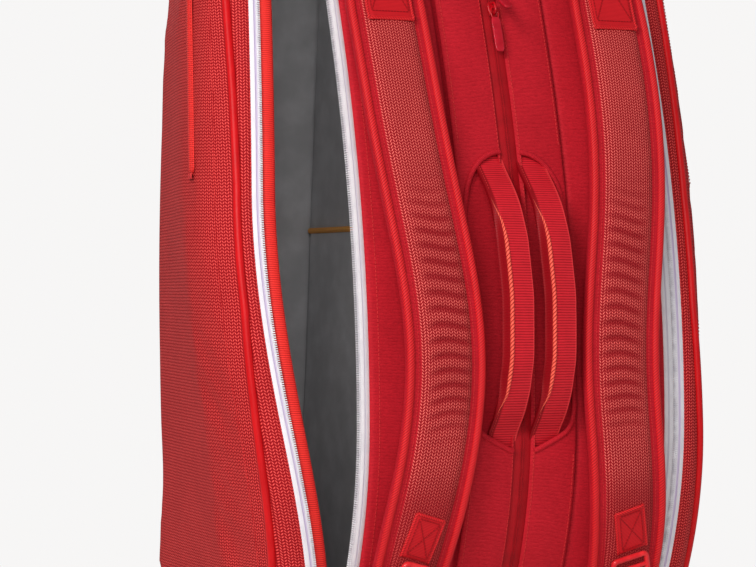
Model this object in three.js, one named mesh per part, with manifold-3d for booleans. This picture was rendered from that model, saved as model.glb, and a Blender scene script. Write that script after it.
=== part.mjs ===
// Racket tournament bag, standing on its racket-head end.
// Millimetres, +Z up along the bag, X across its three compartments, straps and handles on the -Y side.
import * as THREE from 'three';
import { mergeVertices } from 'three/addons/utils/BufferGeometryUtils.js';
import Module from 'manifold-3d';

// ---- driving dimensions ----
const HEIGHT = 760;
const RIM_X = 162;              // flank panel's edge, from the middle of the bag
const CENTRE_X = 48;            // seam between the centre compartment and a side compartment
const ZIP_X = 140;              // line where a side compartment's two zip halves meet
const SHEET = 5;                // padded fabric
const SKIN = 2;                 // plain fabric, webbing and zip tape
const GAP = 0.3;                // clearance between neighbours

const BELLY_Z = 250;            // height of the deepest point of the strap side
const BELLY_Y = -170;
const LOW_CURVE = 1.62e-3;      // curvature of the strap side below the belly, per mm
const HIGH_CURVE = 5.3e-4;      // and above it
const STRAIGHT_Z = 560;         // the strap side is straight from here to the top
const BACK_Y = 165;             // back panel at BACK_Z
const BACK_Z = 110;
const BACK_LEAN = -0.0923;      // the back leans towards the handle end
const BACK_CURVE = 3.7e-3;
const STRIP_LOW = 12;           // the front and back panels run between these heights
const STRIP_HIGH = 745;
const SIDE_DEPTH = 6;           // side compartments sit this far behind the centre one
const ZIP_RUN = [20, 738];      // heights the zip tapes reach
const BODY_TAPE = 12.5;         // widths of a side zip's two halves
const COVER_TAPE = 9;
const PANEL_THICK = 4;          // front panels, gussets and bands
const PIPING_RADIUS = 3.2;

const FLANK_BULGE = 26;         // padding and pocket on the flank panel
const FLANK_SOFT_EDGE = 50;
const CROWN_STEPS = 4;
const OPEN_ANGLE = 0.25;        // radians the left cover stands open
const POCKET_ZIP = { low: 442, high: 668, setback: 58 };  // zip of the flat pocket on each flank

const STRAP_TOP = 640;
const STRAP_BOTTOM = 112;
const STRAP_WIDTH = 66;
const STRAP_THICK = 12;
const HANDLE_X = 18.5;
const HANDLE_LOW = 244;
const HANDLE_HIGH = 456;
const HANDLE_WIDTH = 25;
const HANDLE_THICK = 5;
const HANDLE_RISE = 30;         // clearance for a hand at the middle of the handle
const BUCKLE_Z = 139;
const SLIDER = { width: 9, length: 13, plate: 2.6, bridge: 3, clear: 3.2 };
const HIGH_PULL_LIFT = 0.7;     // radians: the upper centre pull lies over the lower slider
const PULL = { width: 8, length: 38, thick: 1.8, ring: 9 };

// ---- the bag's side view ----
function front(z) {
  if (z < BELLY_Z) return BELLY_Y + LOW_CURVE * (BELLY_Z - z) ** 2;
  if (z < STRAIGHT_Z) return BELLY_Y + HIGH_CURVE * (z - BELLY_Z) ** 2;
  const rise = STRAIGHT_Z - BELLY_Z;
  return BELLY_Y + HIGH_CURVE * rise * (rise + 2 * (z - STRAIGHT_Z));
}

function frontSlope(z) {
  if (z < BELLY_Z) return -2 * LOW_CURVE * (BELLY_Z - z);
  return 2 * HIGH_CURVE * (Math.min(z, STRAIGHT_Z) - BELLY_Z);
}

function back(z) {
  const line = BACK_Y + BACK_LEAN * (z - BACK_Z);
  return z < BACK_Z ? BACK_Y - BACK_CURVE * (BACK_Z - z) ** 2 : line;
}

function backSlope(z) {
  return z < BACK_Z ? 2 * BACK_CURVE * (BACK_Z - z) : BACK_LEAN;
}

// a point at depth d under the strap side, as [y, z]
function frontPoint(z, d) {
  const slope = frontSlope(z);
  const n = Math.hypot(1, slope);
  return [front(z) + d / n, z - (d * slope) / n];
}

function backPoint(z, d) {
  const slope = backSlope(z);
  const n = Math.hypot(1, slope);
  return [back(z) - d / n, z + (d * slope) / n];
}

function curve(start, control, end, steps) {
  const bend = new THREE.QuadraticBezierCurve(
    new THREE.Vector2(...start), new THREE.Vector2(...control), new THREE.Vector2(...end));
  return bend.getPoints(steps).map((p) => [p.x, p.y]);
}

// closed side outline, inset from each face of the bag; every inset gives the same count of points
function sideOutline(inFront, inBack, inEnds) {
  const high = HEIGHT - inEnds;
  const corner = STRIP_HIGH - inEnds;
  const points = [];
  for (const share of [0, 0.04, 0.09, 0.15, 0.23, 0.32, 0.43, 0.54, 0.66, 0.77, 0.88, 1]) {
    points.push(frontPoint(inEnds + share * (STRAIGHT_Z - inEnds), inFront));
  }
  const frontCorner = frontPoint(corner, inFront);
  const backCorner = backPoint(corner, inBack);
  points.push(...curve(frontCorner, [frontCorner[0] + 4, high], [frontCorner[0] + 20, high], 3));
  points.push(...curve([backCorner[0] - 20, high], [backCorner[0] - 2, high], backCorner, 3));
  for (const share of [1, 0.7, 0.4, 0.2, 0]) {
    points.push(backPoint(inEnds + share * (BACK_Z - inEnds), inBack));
  }
  return points;
}

// ---- shape helpers ----
const wasm = await Module();
wasm.setup();

// local x, y, z become world Y, Z, X
const ALONG_X = new THREE.Matrix4().makeBasis(
  new THREE.Vector3(0, 1, 0), new THREE.Vector3(0, 0, 1), new THREE.Vector3(1, 0, 0));

function shapeOf(points) {
  return new THREE.Shape(points.map(([x, y]) => new THREE.Vector2(x, y)));
}

// a Y-Z outline extruded across the bag from xLow to xHigh
function slab(points, xLow, xHigh) {
  const geometry = new THREE.ExtrudeGeometry(shapeOf(points), {
    depth: xHigh - xLow, bevelEnabled: false });
  return geometry.applyMatrix4(ALONG_X).translate(xLow, 0, 0);
}

// moves every vertex of a box built around the origin
function bend(geometry, place) {
  const position = geometry.attributes.position;
  const point = new THREE.Vector3();
  for (let i = 0; i < position.count; i += 1) {
    point.fromBufferAttribute(position, i);
    position.setXYZ(i, ...place(point.x, point.y, point.z));
  }
  return geometry;
}

// a panel that follows the strap side: x range, depth range, height range
function frontStrip(x, depth, z, steps = 22) {
  const box = new THREE.BoxGeometry(x[1] - x[0], depth[1] - depth[0], z[1] - z[0], 1, 1, steps);
  const mid = (range) => (range[0] + range[1]) / 2;
  return bend(box, (u, v, w) => {
    const [py, pz] = frontPoint(w + mid(z), v + mid(depth));
    return [u + mid(x), py, pz];
  });
}

// a flat band whose middle line and stand-off are functions of height
function band(width, thick, z, centreX, standOff, steps = 20) {
  const box = new THREE.BoxGeometry(width, thick, z[1] - z[0], 1, 1, steps);
  return bend(box, (u, v, w) => {
    const height = w + (z[0] + z[1]) / 2;
    const [py, pz] = frontPoint(height, v - standOff(height) - thick / 2);
    return [u + centreX(height), py, pz];
  });
}

function solid(geometry) {
  const bare = geometry.clone();
  bare.deleteAttribute('normal');
  bare.deleteAttribute('uv');
  const merged = mergeVertices(bare, 1e-4);
  return new wasm.Manifold(new wasm.Mesh({
    numProp: 3,
    vertProperties: new Float32Array(merged.attributes.position.array),
    triVerts: new Uint32Array(merged.index.array),
  }));
}

function geometryOf(body) {
  const mesh = body.getMesh();
  const geometry = new THREE.BufferGeometry();
  geometry.setAttribute('position', new THREE.BufferAttribute(mesh.vertProperties, 3));
  geometry.setIndex(new THREE.BufferAttribute(mesh.triVerts, 1));
  geometry.computeVertexNormals();
  return geometry;
}

const cut = (a, b) => geometryOf(solid(a).subtract(solid(b)));
const join = (a, b) => geometryOf(solid(a).add(solid(b)));

// ---- materials ----
function material(color, roughness, metalness = 0) {
  return new THREE.MeshStandardMaterial({ color, roughness, metalness });
}
const KNIT = material(0xb81f2c, 0.85);
const WEAVE = material(0xa8141f, 0.8);
const WEBBING = material(0xb51d29, 0.7);
const PIPING = material(0xc2222e, 0.45);
const TAPE = material(0xe9e6ea, 0.6);
const RED_TAPE = material(0x9c101a, 0.6);
const LINING = material(0x3d3d40, 0.7);
const POCKET_EDGE = material(0xc07a35, 0.6);
const PLASTIC = material(0xcb2433, 0.3);
const METAL = material(0xa51b25, 0.35, 0.3);

const bag = new THREE.Group();
function add(parent, name, geometry, look) {
  const mesh = new THREE.Mesh(geometry, look);
  mesh.name = name;
  parent.add(mesh);
  return mesh;
}

// ---- end, back and divider panels ----
const INNER_X = RIM_X - SHEET - GAP;

function basePanel() {
  const zLip = STRIP_LOW - GAP;
  return slab([
    [front(0), 0], [back(0), 0], backPoint(zLip, 0), backPoint(zLip, SHEET),
    [back(0) - 8, SHEET], [front(0) + 8, SHEET], frontPoint(zLip, SHEET), frontPoint(zLip, 0),
  ], -INNER_X, INNER_X);
}

function topPanel() {
  const z = STRIP_HIGH + 2;
  const [yFront] = frontPoint(z, 0);
  const [yBack] = backPoint(z, 0);
  const outer = [
    ...curve([yFront, z], [yFront + 4, HEIGHT], [yFront + 24, HEIGHT], 3),
    ...curve([yBack - 24, HEIGHT], [yBack - 2, HEIGHT], [yBack, z], 3),
  ];
  const inner = [
    ...curve([yBack - SHEET, z], [yBack - 7, HEIGHT - SHEET], [yBack - 26, HEIGHT - SHEET], 3),
    ...curve([yFront + 26, HEIGHT - SHEET], [yFront + 9, HEIGHT - SHEET], [yFront + SHEET, z], 3),
  ];
  return slab([...outer, ...inner].reverse(), -INNER_X, INNER_X);
}

function backStrip(x, depth, zLow, zHigh) {
  const heights = [zHigh, BACK_Z, 80, 50, 25, zLow].filter((z) => z >= zLow);
  const outer = heights.map((z) => backPoint(z, depth[0]));
  const inner = heights.map((z) => backPoint(z, depth[1])).reverse();
  return slab([...outer, ...inner], x[0], x[1]);
}

add(bag, 'base_panel', basePanel(), WEAVE);
add(bag, 'top_panel', topPanel(), WEAVE);
add(bag, 'back_panel', backStrip([-INNER_X, INNER_X], [0, SHEET], STRIP_LOW, STRIP_HIGH), WEAVE);
add(bag, 'back_lining', backStrip([-INNER_X + 4, -CENTRE_X - 4], [SHEET + GAP, SHEET + SKIN],
  50, STRIP_HIGH - 20), LINING);
for (const [side, s] of [['left', -1], ['right', 1]]) {
  const outline = sideOutline(9, SHEET + 1, 13);
  const x = s < 0 ? [-CENTRE_X - 3.7, -CENTRE_X - GAP] : [CENTRE_X + GAP, CENTRE_X + 3.7];
  add(bag, `${side}_divider`, slab(outline, ...x), LINING);
}

// ---- inner pocket on the left divider, with a bound top edge ----
const POCKET_Z = 404;
const POCKET_FACE = -CENTRE_X - 4;
const pocketOutline = [
  [front(POCKET_Z) + 22, POCKET_Z], [front(60) + 30, 60], [back(60) - 30, 60],
  [back(POCKET_Z) - 22, POCKET_Z],
];
add(bag, 'left_inner_pocket', slab(pocketOutline, POCKET_FACE - SKIN, POCKET_FACE), LINING);
add(bag, 'left_inner_pocket_binding', slab([
  [front(POCKET_Z) + 22, POCKET_Z + GAP], [back(POCKET_Z) - 22, POCKET_Z + GAP],
  [back(POCKET_Z) - 22, POCKET_Z + 5], [front(POCKET_Z) + 22, POCKET_Z + 5],
], POCKET_FACE - SKIN - 1, POCKET_FACE), POCKET_EDGE);

// ---- centre compartment: two front panels with a hand window each, and the centre zip ----
function windowCutter(s) {
  const outline = [
    [8, 229], [34, 241], [45, 254], [45.5, 426], [38, 447], [30, 457], [8, 465],
  ].map(([x, z]) => [s * x, z]);
  if (s < 0) outline.reverse();
  const geometry = new THREE.ExtrudeGeometry(shapeOf(outline), { depth: 120, bevelEnabled: false });
  return geometry.rotateX(Math.PI / 2).translate(0, BELLY_Y + 80, 0);
}

function mirrored(range, s) {
  return s < 0 ? [-range[1], -range[0]] : range;
}

const Z_RUN = [STRIP_LOW, STRIP_HIGH];
for (const [side, s] of [['left', -1], ['right', 1]]) {
  const panel = frontStrip(mirrored([3.5, CENTRE_X], s), [0, PANEL_THICK], Z_RUN, 26);
  add(bag, `${side}_front_panel`, cut(panel, windowCutter(s)), WEAVE);
  add(bag, `${side}_window_base`,
    frontStrip(mirrored([6, CENTRE_X - 1], s), [PANEL_THICK + GAP, 6.5], [220, 472], 10), WEAVE);
  add(bag, `${side}_gusset`,
    frontStrip(mirrored([CENTRE_X + GAP, ZIP_X - BODY_TAPE - GAP], s), [4, 8], Z_RUN), WEAVE);
  const tape = mirrored([ZIP_X - BODY_TAPE, ZIP_X - GAP], s);
  add(bag, `${side}_zip_body_half`,
    frontStrip(tape, [SIDE_DEPTH, SIDE_DEPTH + SKIN], ZIP_RUN), TAPE);
}
add(bag, 'centre_zip', frontStrip([-3.2, 3.2], [0.6, 3], ZIP_RUN), RED_TAPE);

// ---- side covers: flank panel, band, piping, zip half, guard and lining, hinged at the back edge ----
const HINGE_X = RIM_X - SHEET / 2;
const HINGE_Y0 = BACK_Y - BACK_LEAN * BACK_Z;
const hingeAxis = new THREE.Vector3(0, BACK_LEAN, 1).normalize();

// a padded panel: flat inside, crowned outside, with its edge on the compartment's rim
function flankPanel(s) {
  const rings = [{ inset: 0, x: RIM_X - SHEET }];
  for (let step = 0; step <= CROWN_STEPS; step += 1) {
    const turn = (step / CROWN_STEPS) * (Math.PI / 2);
    rings.push({
      inset: FLANK_SOFT_EDGE * (1 - Math.cos(turn)),
      x: RIM_X + FLANK_BULGE * Math.sin(turn),
    });
  }
  const loops = rings.map(({ inset }) => sideOutline(SIDE_DEPTH + inset, 3 + inset, 3 + inset));
  const count = loops[0].length;
  const vertices = loops.flatMap((loop, k) => loop.flatMap(([y, z]) => [s * rings[k].x, y, z]));
  const faces = [];
  for (let k = 0; k + 1 < loops.length; k += 1) {
    for (let i = 0; i < count; i += 1) {
      const [a, b] = [k * count + i, k * count + ((i + 1) % count)];
      faces.push([a, b, b + count], [a, b + count, a + count]);
    }
  }
  const flat = (loop) => loop.map(([y, z]) => new THREE.Vector2(y, z));
  const cap = (k) => THREE.ShapeUtils.triangulateShape(flat(loops[k]), [])
    .map((face) => face.map((i) => k * count + i));
  const inner = cap(0);
  const outer = cap(loops.length - 1);
  const windsOut = THREE.ShapeUtils.area(flat(loops[0])) > 0;
  faces.push(...(windsOut ? inner.map((f) => f.slice().reverse()) : inner));
  faces.push(...(windsOut ? outer : outer.map((f) => f.slice().reverse())));
  const outward = (s > 0) === windsOut ? faces : faces.map((f) => f.slice().reverse());
  const geometry = new THREE.BufferGeometry();
  geometry.setAttribute('position', new THREE.Float32BufferAttribute(vertices, 3));
  geometry.setIndex(outward.flat());
  geometry.computeVertexNormals();
  return geometry;
}

function piping(s) {
  const rod = new THREE.CylinderGeometry(
    PIPING_RADIUS, PIPING_RADIUS, STRIP_HIGH - STRIP_LOW, 8, 22);
  const middle = (STRIP_HIGH + STRIP_LOW) / 2;
  return bend(rod, (x, y, z) => {
    const [py, pz] = frontPoint(middle + y, SIDE_DEPTH - PIPING_RADIUS - 1 - z);
    return [x + s * (RIM_X - 2), py, pz];
  });
}

function pocketWelt(s) {
  const x = s < 0 ? [-RIM_X - FLANK_BULGE - 2.5, -RIM_X - FLANK_BULGE - GAP]
    : [RIM_X + FLANK_BULGE + GAP, RIM_X + FLANK_BULGE + 2.5];
  const [y0, y1] = [front(POCKET_ZIP.low), front(POCKET_ZIP.high)];
  const set = POCKET_ZIP.setback;
  return slab([
    [y0 + set - 6, POCKET_ZIP.low], [y0 + set + 6, POCKET_ZIP.low],
    [y1 + set + 6, POCKET_ZIP.high], [y1 + set - 6, POCKET_ZIP.high],
  ], ...x);
}

const covers = {};
for (const [side, s] of [['left', -1], ['right', 1]]) {
  const cover = new THREE.Group();
  // the pivot group sits on the hinge line, so a turn about it swings the cover
  const pivot = new THREE.Group();
  pivot.position.set(s * HINGE_X, HINGE_Y0, 0);
  cover.position.set(-s * HINGE_X, -HINGE_Y0, 0);
  if (s < 0) pivot.quaternion.setFromAxisAngle(hingeAxis, -OPEN_ANGLE);
  pivot.add(cover);
  bag.add(pivot);
  covers[side] = cover;
  add(cover, `${side}_flank_panel`, flankPanel(s), KNIT);
  add(cover, `${side}_front_band`, frontStrip(
    mirrored([ZIP_X + COVER_TAPE + GAP, RIM_X - SHEET - GAP], s),
    [SIDE_DEPTH, SIDE_DEPTH + PANEL_THICK], Z_RUN), KNIT);
  add(cover, `${side}_piping`, piping(s), PIPING);
  add(cover, `${side}_zip_cover_half`, frontStrip(
    mirrored([ZIP_X, ZIP_X + COVER_TAPE], s), [SIDE_DEPTH, SIDE_DEPTH + SKIN], ZIP_RUN), TAPE);
  add(cover, `${side}_zip_guard`, frontStrip(
    mirrored([ZIP_X - 10.5, ZIP_X + 4], s), [SIDE_DEPTH + 5, SIDE_DEPTH + 8], [30, 728]), WEBBING);
  const lining = s < 0 ? [-RIM_X + SHEET + GAP, -RIM_X + SHEET + SKIN]
    : [RIM_X - SHEET - SKIN, RIM_X - SHEET - GAP];
  add(cover, `${side}_cover_lining`, slab(sideOutline(16, 14, 18), ...lining), LINING);
  add(cover, `${side}_pocket_welt`, pocketWelt(s), PIPING);
}

// ---- zip sliders and their pulls ----
function sliderGeometry() {
  const { width, length, plate, bridge, clear } = SLIDER;
  const base = new THREE.BoxGeometry(width, plate, length).translate(0, -plate / 2, 0);
  const half = length / 2 - 1;
  const rise = plate + clear + 1.4;
  const arch = [
    [-plate + 0.4, -half], [-rise + 1, -half], [-rise, -half + 1.4], [-rise, half - 1.4],
    [-rise + 1, half], [-plate + 0.4, half], [-plate + 0.4, half - 1.6], [-rise + 1.6, half - 1.8],
    [-rise + 1.6, -half + 1.8], [-plate + 0.4, -half + 1.6],
  ].reverse();
  return join(base, slab(arch, -bridge / 2, bridge / 2));
}

function pullGeometry() {
  const { width, length, thick, ring } = PULL;
  const half = width / 2;
  const tab = shapeOf([
    [-half, -length + 3], [-half + 2, -length], [half - 2, -length], [half, -length + 3],
    [half, -ring], [half - 0.4, 0.2], [half - 1.6, 1.1],
    [-half + 1.6, 1.1], [-half + 0.4, 0.2], [-half, -ring],
  ]);
  const slot = half - 1.8;
  tab.holes.push(new THREE.Path([
    new THREE.Vector2(-slot, -ring + 1), new THREE.Vector2(-slot, -0.7),
    new THREE.Vector2(slot, -0.7), new THREE.Vector2(slot, -ring + 1),
  ]));
  const geometry = new THREE.ExtrudeGeometry(tab, { depth: thick, bevelEnabled: false });
  return geometry.rotateX(Math.PI / 2).translate(0, thick / 2, 0);
}

// a slider on the strap side, with the pull hanging from its bridge
function zipSlider(parent, name, x, z, depth, lift) {
  const [y, zz] = frontPoint(z, depth);
  const turn = new THREE.Euler(-Math.atan(frontSlope(z)), 0, 0);
  placeSlider(parent, name, new THREE.Vector3(x, y, zz), turn, lift);
}

function placeSlider(parent, name, position, turn, lift) {
  const seat = new THREE.Group();
  seat.position.copy(position);
  seat.rotation.copy(turn);
  parent.add(seat);
  add(seat, `${name}_slider`, sliderGeometry(), METAL);
  const swing = new THREE.Group();
  swing.position.set(0, -SLIDER.plate - SLIDER.clear / 2 - 0.3, 0);
  swing.rotation.x = -lift;
  seat.add(swing);
  add(swing, `${name}_pull`, pullGeometry(), PLASTIC);
}

zipSlider(bag, 'centre_low', 0, 578, -GAP, 0);
zipSlider(bag, 'centre_high', 0, 596, -GAP, HIGH_PULL_LIFT);
zipSlider(bag, 'left_top', -ZIP_X + 3, 722, SIDE_DEPTH - GAP, 0);
zipSlider(bag, 'left_bottom', -ZIP_X + 3, 64, SIDE_DEPTH - GAP, 0);
zipSlider(bag, 'right_top', ZIP_X, 716, SIDE_DEPTH - GAP, 0);
for (const [side, s] of [['left', -1], ['right', 1]]) {
  const slope = (front(POCKET_ZIP.high) - front(POCKET_ZIP.low)) / (POCKET_ZIP.high - POCKET_ZIP.low);
  const z = POCKET_ZIP.high - 16;
  const y = front(POCKET_ZIP.low) + slope * (z - POCKET_ZIP.low) + POCKET_ZIP.setback;
  const seat = new THREE.Group();
  seat.position.set(s * (RIM_X + FLANK_BULGE + 2.5 + GAP), y, z);
  seat.rotation.set(-Math.atan(slope), 0, 0);
  covers[side].add(seat);
  const facing = new THREE.Group();
  facing.rotation.z = s * Math.PI / 2;
  seat.add(facing);
  placeSlider(facing, `${side}_pocket`, new THREE.Vector3(), new THREE.Euler(), 0);
}

// ---- grab handles ----
for (const [side, s] of [['left', -1], ['right', 1]]) {
  const rise = (z) => {
    const t = (z - HANDLE_LOW) / (HANDLE_HIGH - HANDLE_LOW);
    return 1 + HANDLE_RISE * Math.sin(Math.PI * t) ** 0.8;
  };
  add(bag, `${side}_handle`,
    band(HANDLE_WIDTH, HANDLE_THICK, [HANDLE_LOW, HANDLE_HIGH], () => s * HANDLE_X, rise), WEBBING);
}

// ---- shoulder straps ----
const strapX = (z) => 100 - 23 * Math.exp(-(((z - 300) / 130) ** 2));
const strapBack = (z) => 2 + 11 * Math.sin(Math.PI * (z - STRAP_BOTTOM) / (STRAP_TOP - STRAP_BOTTOM));

function ladderLock() {
  const frame = new THREE.Shape();
  const [w, h, r] = [16, 15, 4];
  frame.moveTo(-w + r, -h);
  frame.lineTo(w - r, -h).quadraticCurveTo(w, -h, w, -h + r);
  frame.lineTo(w, h - r).quadraticCurveTo(w, h, w - r, h);
  frame.lineTo(-w + r, h).quadraticCurveTo(-w, h, -w, h - r);
  frame.lineTo(-w, -h + r).quadraticCurveTo(-w, -h, -w + r, -h);
  for (const [low, high] of [[-10, -4.5], [-1.5, 10]]) {
    frame.holes.push(new THREE.Path([
      new THREE.Vector2(-13, low), new THREE.Vector2(-13, high),
      new THREE.Vector2(13, high), new THREE.Vector2(13, low),
    ]));
  }
  const settings = { depth: 5, bevelEnabled: false, curveSegments: 4 };
  const geometry = new THREE.ExtrudeGeometry(frame, settings);
  return geometry.rotateX(Math.PI / 2);
}

for (const [side, s] of [['left', -1], ['right', 1]]) {
  const centre = (z) => s * strapX(z);
  const face = (z) => strapBack(z) + STRAP_THICK + GAP;
  add(bag, `${side}_strap_pad`,
    band(STRAP_WIDTH, STRAP_THICK, [STRAP_BOTTOM, STRAP_TOP], centre, strapBack, 26), KNIT);
  add(bag, `${side}_strap_upper_tab`, band(38, SKIN, [566, STRAP_TOP - 4], centre, face, 4), WEBBING);
  add(bag, `${side}_strap_lower_tab`, band(25, SKIN, [BUCKLE_Z + 16, 184], centre, face, 3), WEBBING);
  const lock = add(bag, `${side}_ladder_lock`, ladderLock(), PLASTIC);
  const [y, z] = frontPoint(BUCKLE_Z, -face(BUCKLE_Z) - 1.2);
  lock.position.set(centre(BUCKLE_Z), y, z);
  lock.rotation.x = -Math.atan(frontSlope(BUCKLE_Z));
  const slack = (height) => 1 + 11 * Math.max(0, (height - 44) / 64) ** 1.5;
  add(bag, `${side}_adjuster_webbing`, band(25, SKIN, [36, 108], centre, slack, 8), WEBBING);
}

// ---- the origin is the middle of the footprint ----
bag.updateMatrixWorld(true);
const extent = new THREE.Box3().setFromObject(bag, true);
const middle = extent.getCenter(new THREE.Vector3());
bag.position.set(-middle.x, -middle.y, -extent.min.z);

export default bag;
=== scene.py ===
import math

import bmesh
import bpy
import numpy as np
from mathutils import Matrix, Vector


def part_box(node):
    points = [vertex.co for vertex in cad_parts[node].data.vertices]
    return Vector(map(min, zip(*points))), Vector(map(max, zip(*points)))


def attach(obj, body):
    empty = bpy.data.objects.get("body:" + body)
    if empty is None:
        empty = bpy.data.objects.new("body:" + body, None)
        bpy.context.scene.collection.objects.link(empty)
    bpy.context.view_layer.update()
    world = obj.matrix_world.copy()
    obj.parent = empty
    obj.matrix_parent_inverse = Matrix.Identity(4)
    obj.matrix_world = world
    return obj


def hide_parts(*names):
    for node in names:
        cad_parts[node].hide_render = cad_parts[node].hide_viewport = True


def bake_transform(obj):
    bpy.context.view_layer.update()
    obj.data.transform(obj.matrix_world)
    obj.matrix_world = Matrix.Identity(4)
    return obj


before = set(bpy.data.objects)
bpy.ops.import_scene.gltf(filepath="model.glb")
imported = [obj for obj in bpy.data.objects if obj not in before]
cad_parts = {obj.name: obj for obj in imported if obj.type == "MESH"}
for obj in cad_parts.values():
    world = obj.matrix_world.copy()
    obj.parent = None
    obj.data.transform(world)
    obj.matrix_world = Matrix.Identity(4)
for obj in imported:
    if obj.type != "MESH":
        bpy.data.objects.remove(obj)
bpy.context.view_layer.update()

scene = bpy.context.scene
scene.view_settings.view_transform = "Standard"

# ---------------------------------------------------------------- camera and light
AZIMUTH = math.radians(-25)
AIM = Vector((-0.0723, -0.098, 0.360))
DISTANCE = 2.2
SENSOR_WIDTH, LENS, CLIP_END = 36, 134, 50
AMBIENT, BACKDROP = 0.27, 0.93


def look_at(obj, target):
    direction = Vector(target) - obj.location
    obj.rotation_euler = direction.to_track_quat("-Z", "Y").to_euler()


camera = bpy.data.objects.new("camera", bpy.data.cameras.new("camera"))
scene.collection.objects.link(camera)
camera.location = AIM + DISTANCE * Vector((math.sin(AZIMUTH), -math.cos(AZIMUTH), 0))
look_at(camera, AIM)
camera.data.sensor_width = SENSOR_WIDTH
camera.data.lens = LENS
camera.data.clip_end = CLIP_END
scene.camera = camera


def area_light(name, location, target, size, power, colour):
    lamp = bpy.data.lights.new(name, "AREA")
    lamp.shape = "RECTANGLE"
    lamp.size, lamp.size_y = size
    lamp.energy = power
    lamp.color = colour
    obj = bpy.data.objects.new(name, lamp)
    scene.collection.objects.link(obj)
    obj.location = location
    look_at(obj, target)


area_light("key", (-2.2, -1.75, 1.9), (0, -0.05, 0.42), (1.1, 1.1), 66, (1.0, 0.97, 0.94))
area_light("fill", (2.4, -1.6, 0.9), (0, 0, 0.35), (1.6, 1.8), 7, (0.95, 0.97, 1.0))
area_light("front", (-1.05, -2.0, 0.8), (-0.05, 0, 0.38), (0.8, 0.8), 17, (1.0, 0.98, 0.97))
area_light("rim", (0.6, 2.4, 1.7), (0, 0, 0.4), (1.6, 1.2), 26, (1.0, 1.0, 1.0))

world = bpy.data.worlds.new("studio")
scene.world = world
world.use_nodes = True
backdrop = world.node_tree.nodes["Background"]
path = world.node_tree.nodes.new("ShaderNodeLightPath")
seen = world.node_tree.nodes.new("ShaderNodeMapRange")
seen.inputs["To Min"].default_value = AMBIENT
seen.inputs["To Max"].default_value = BACKDROP
world.node_tree.links.new(path.outputs["Is Camera Ray"], seen.inputs["Value"])
world.node_tree.links.new(seen.outputs["Result"], backdrop.inputs["Strength"])
backdrop.inputs["Color"].default_value = (1.0, 0.99, 0.985, 1)

# ---------------------------------------------------------------- the bag's own coordinates, in millimetres
MM = 0.001
BELLY_Z, BELLY_Y = 250.0, -170.0
LOW_CURVE, HIGH_CURVE = 1.62e-3, 5.3e-4
STRAIGHT_Z = 560.0
BACK_Y, BACK_Z = 165.0, 110.0
BACK_LEAN, BACK_CURVE = -0.0923, 3.7e-3
HEIGHT = 760.0
BASE_EDGE_Z = 11.7
RIM_X = 160.0
CLOSED_X = 158.0
BODY_X = 156.7
FLANK_X = 189.6
CENTRE_X = 48.0
TAPE_IN, TAPE_OUT = 130.4, 147.4
SIDE_DEPTH = 6.0
STRIP_LOW, STRIP_HIGH = 10.5, 748.5
TEETH_LOW, TEETH_HIGH = 18.0, 742.0
OPEN_ANGLE = 0.25
SPLIT_Z = 618.0
LOW_FADE = (-20.0, 460.0)
HIGH_FADE = (672.0, 764.0)
SIDES = ((-1, "left"), (1, "right"))
FORWARD, BACKWARD = (0, -1, 0), (0, 1, 0)


def front(z):
    """Y of the strap side at a height."""
    z = np.asarray(z, float)
    low = BELLY_Y + LOW_CURVE * (BELLY_Z - z) ** 2
    high = BELLY_Y + HIGH_CURVE * (z - BELLY_Z) ** 2
    rise = STRAIGHT_Z - BELLY_Z
    line = BELLY_Y + HIGH_CURVE * rise * (rise + 2 * (z - STRAIGHT_Z))
    return np.where(z < BELLY_Z, low, np.where(z < STRAIGHT_Z, high, line))


def front_slope(z):
    z = np.asarray(z, float)
    high = 2 * HIGH_CURVE * (np.minimum(z, STRAIGHT_Z) - BELLY_Z)
    return np.where(z < BELLY_Z, -2 * LOW_CURVE * (BELLY_Z - z), high)


def back(z):
    z = np.asarray(z, float)
    return np.where(z < BACK_Z, BACK_Y - BACK_CURVE * (BACK_Z - z) ** 2, BACK_Y + BACK_LEAN * (z - BACK_Z))


def back_slope(z):
    z = np.asarray(z, float)
    return np.where(z < BACK_Z, 2 * BACK_CURVE * (BACK_Z - z), BACK_LEAN)


def stacked(*components):
    """One array of points, or of texture coordinates, from its components."""
    return np.stack(np.broadcast_arrays(*components), -1)


def under(surface, slope_of, inward, x, z, depth):
    """Points at a depth under a side of the bag, measured square to it."""
    x, z, depth = np.broadcast_arrays(*(np.asarray(value, float) for value in (x, z, depth)))
    slope = slope_of(z)
    step = inward * depth / np.hypot(1, slope)
    return np.stack([x, surface(z) + step, z - step * slope], -1)


def on_front(x, z, depth):
    """Points under the strap side; a negative depth stands proud of it."""
    return under(front, front_slope, 1, x, z, depth)


def on_back(x, z, depth):
    return under(back, back_slope, -1, x, z, depth)


base_low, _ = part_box("base_panel")
zip_low, zip_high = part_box("centre_zip")
ORIGIN = np.array([(zip_low.x + zip_high.x) / 2, base_low.y - float(front(BASE_EDGE_Z)) * MM, 0.0])
HINGE = np.array([RIM_X - 0.5, BACK_Y - BACK_LEAN * BACK_Z, 0.0])
HINGE_AXIS = np.array([0.0, BACK_LEAN, 1.0]) / math.hypot(1, BACK_LEAN)


def to_frame(points):
    return np.asarray(points, float) * MM + ORIGIN


def frame_point(point):
    return Vector(to_frame(point))


def hinge_point(side, height):
    return frame_point(HINGE * np.array([side, 1, 1]) + HINGE_AXIS * height)


def unit(v):
    v = np.asarray(v, float)
    return v / np.linalg.norm(v)


def bell(distance, width, power=2):
    """1 at distance 0, falling off over a width."""
    return np.exp(-((distance / width) ** power))


def quarter(s):
    """0 at 0 and 1 from 1 on, leaving 0 steeply, like a quarter of an ellipse."""
    s = np.clip(s, 0, 1)
    return np.sqrt(1 - (1 - s) ** 2)


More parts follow.
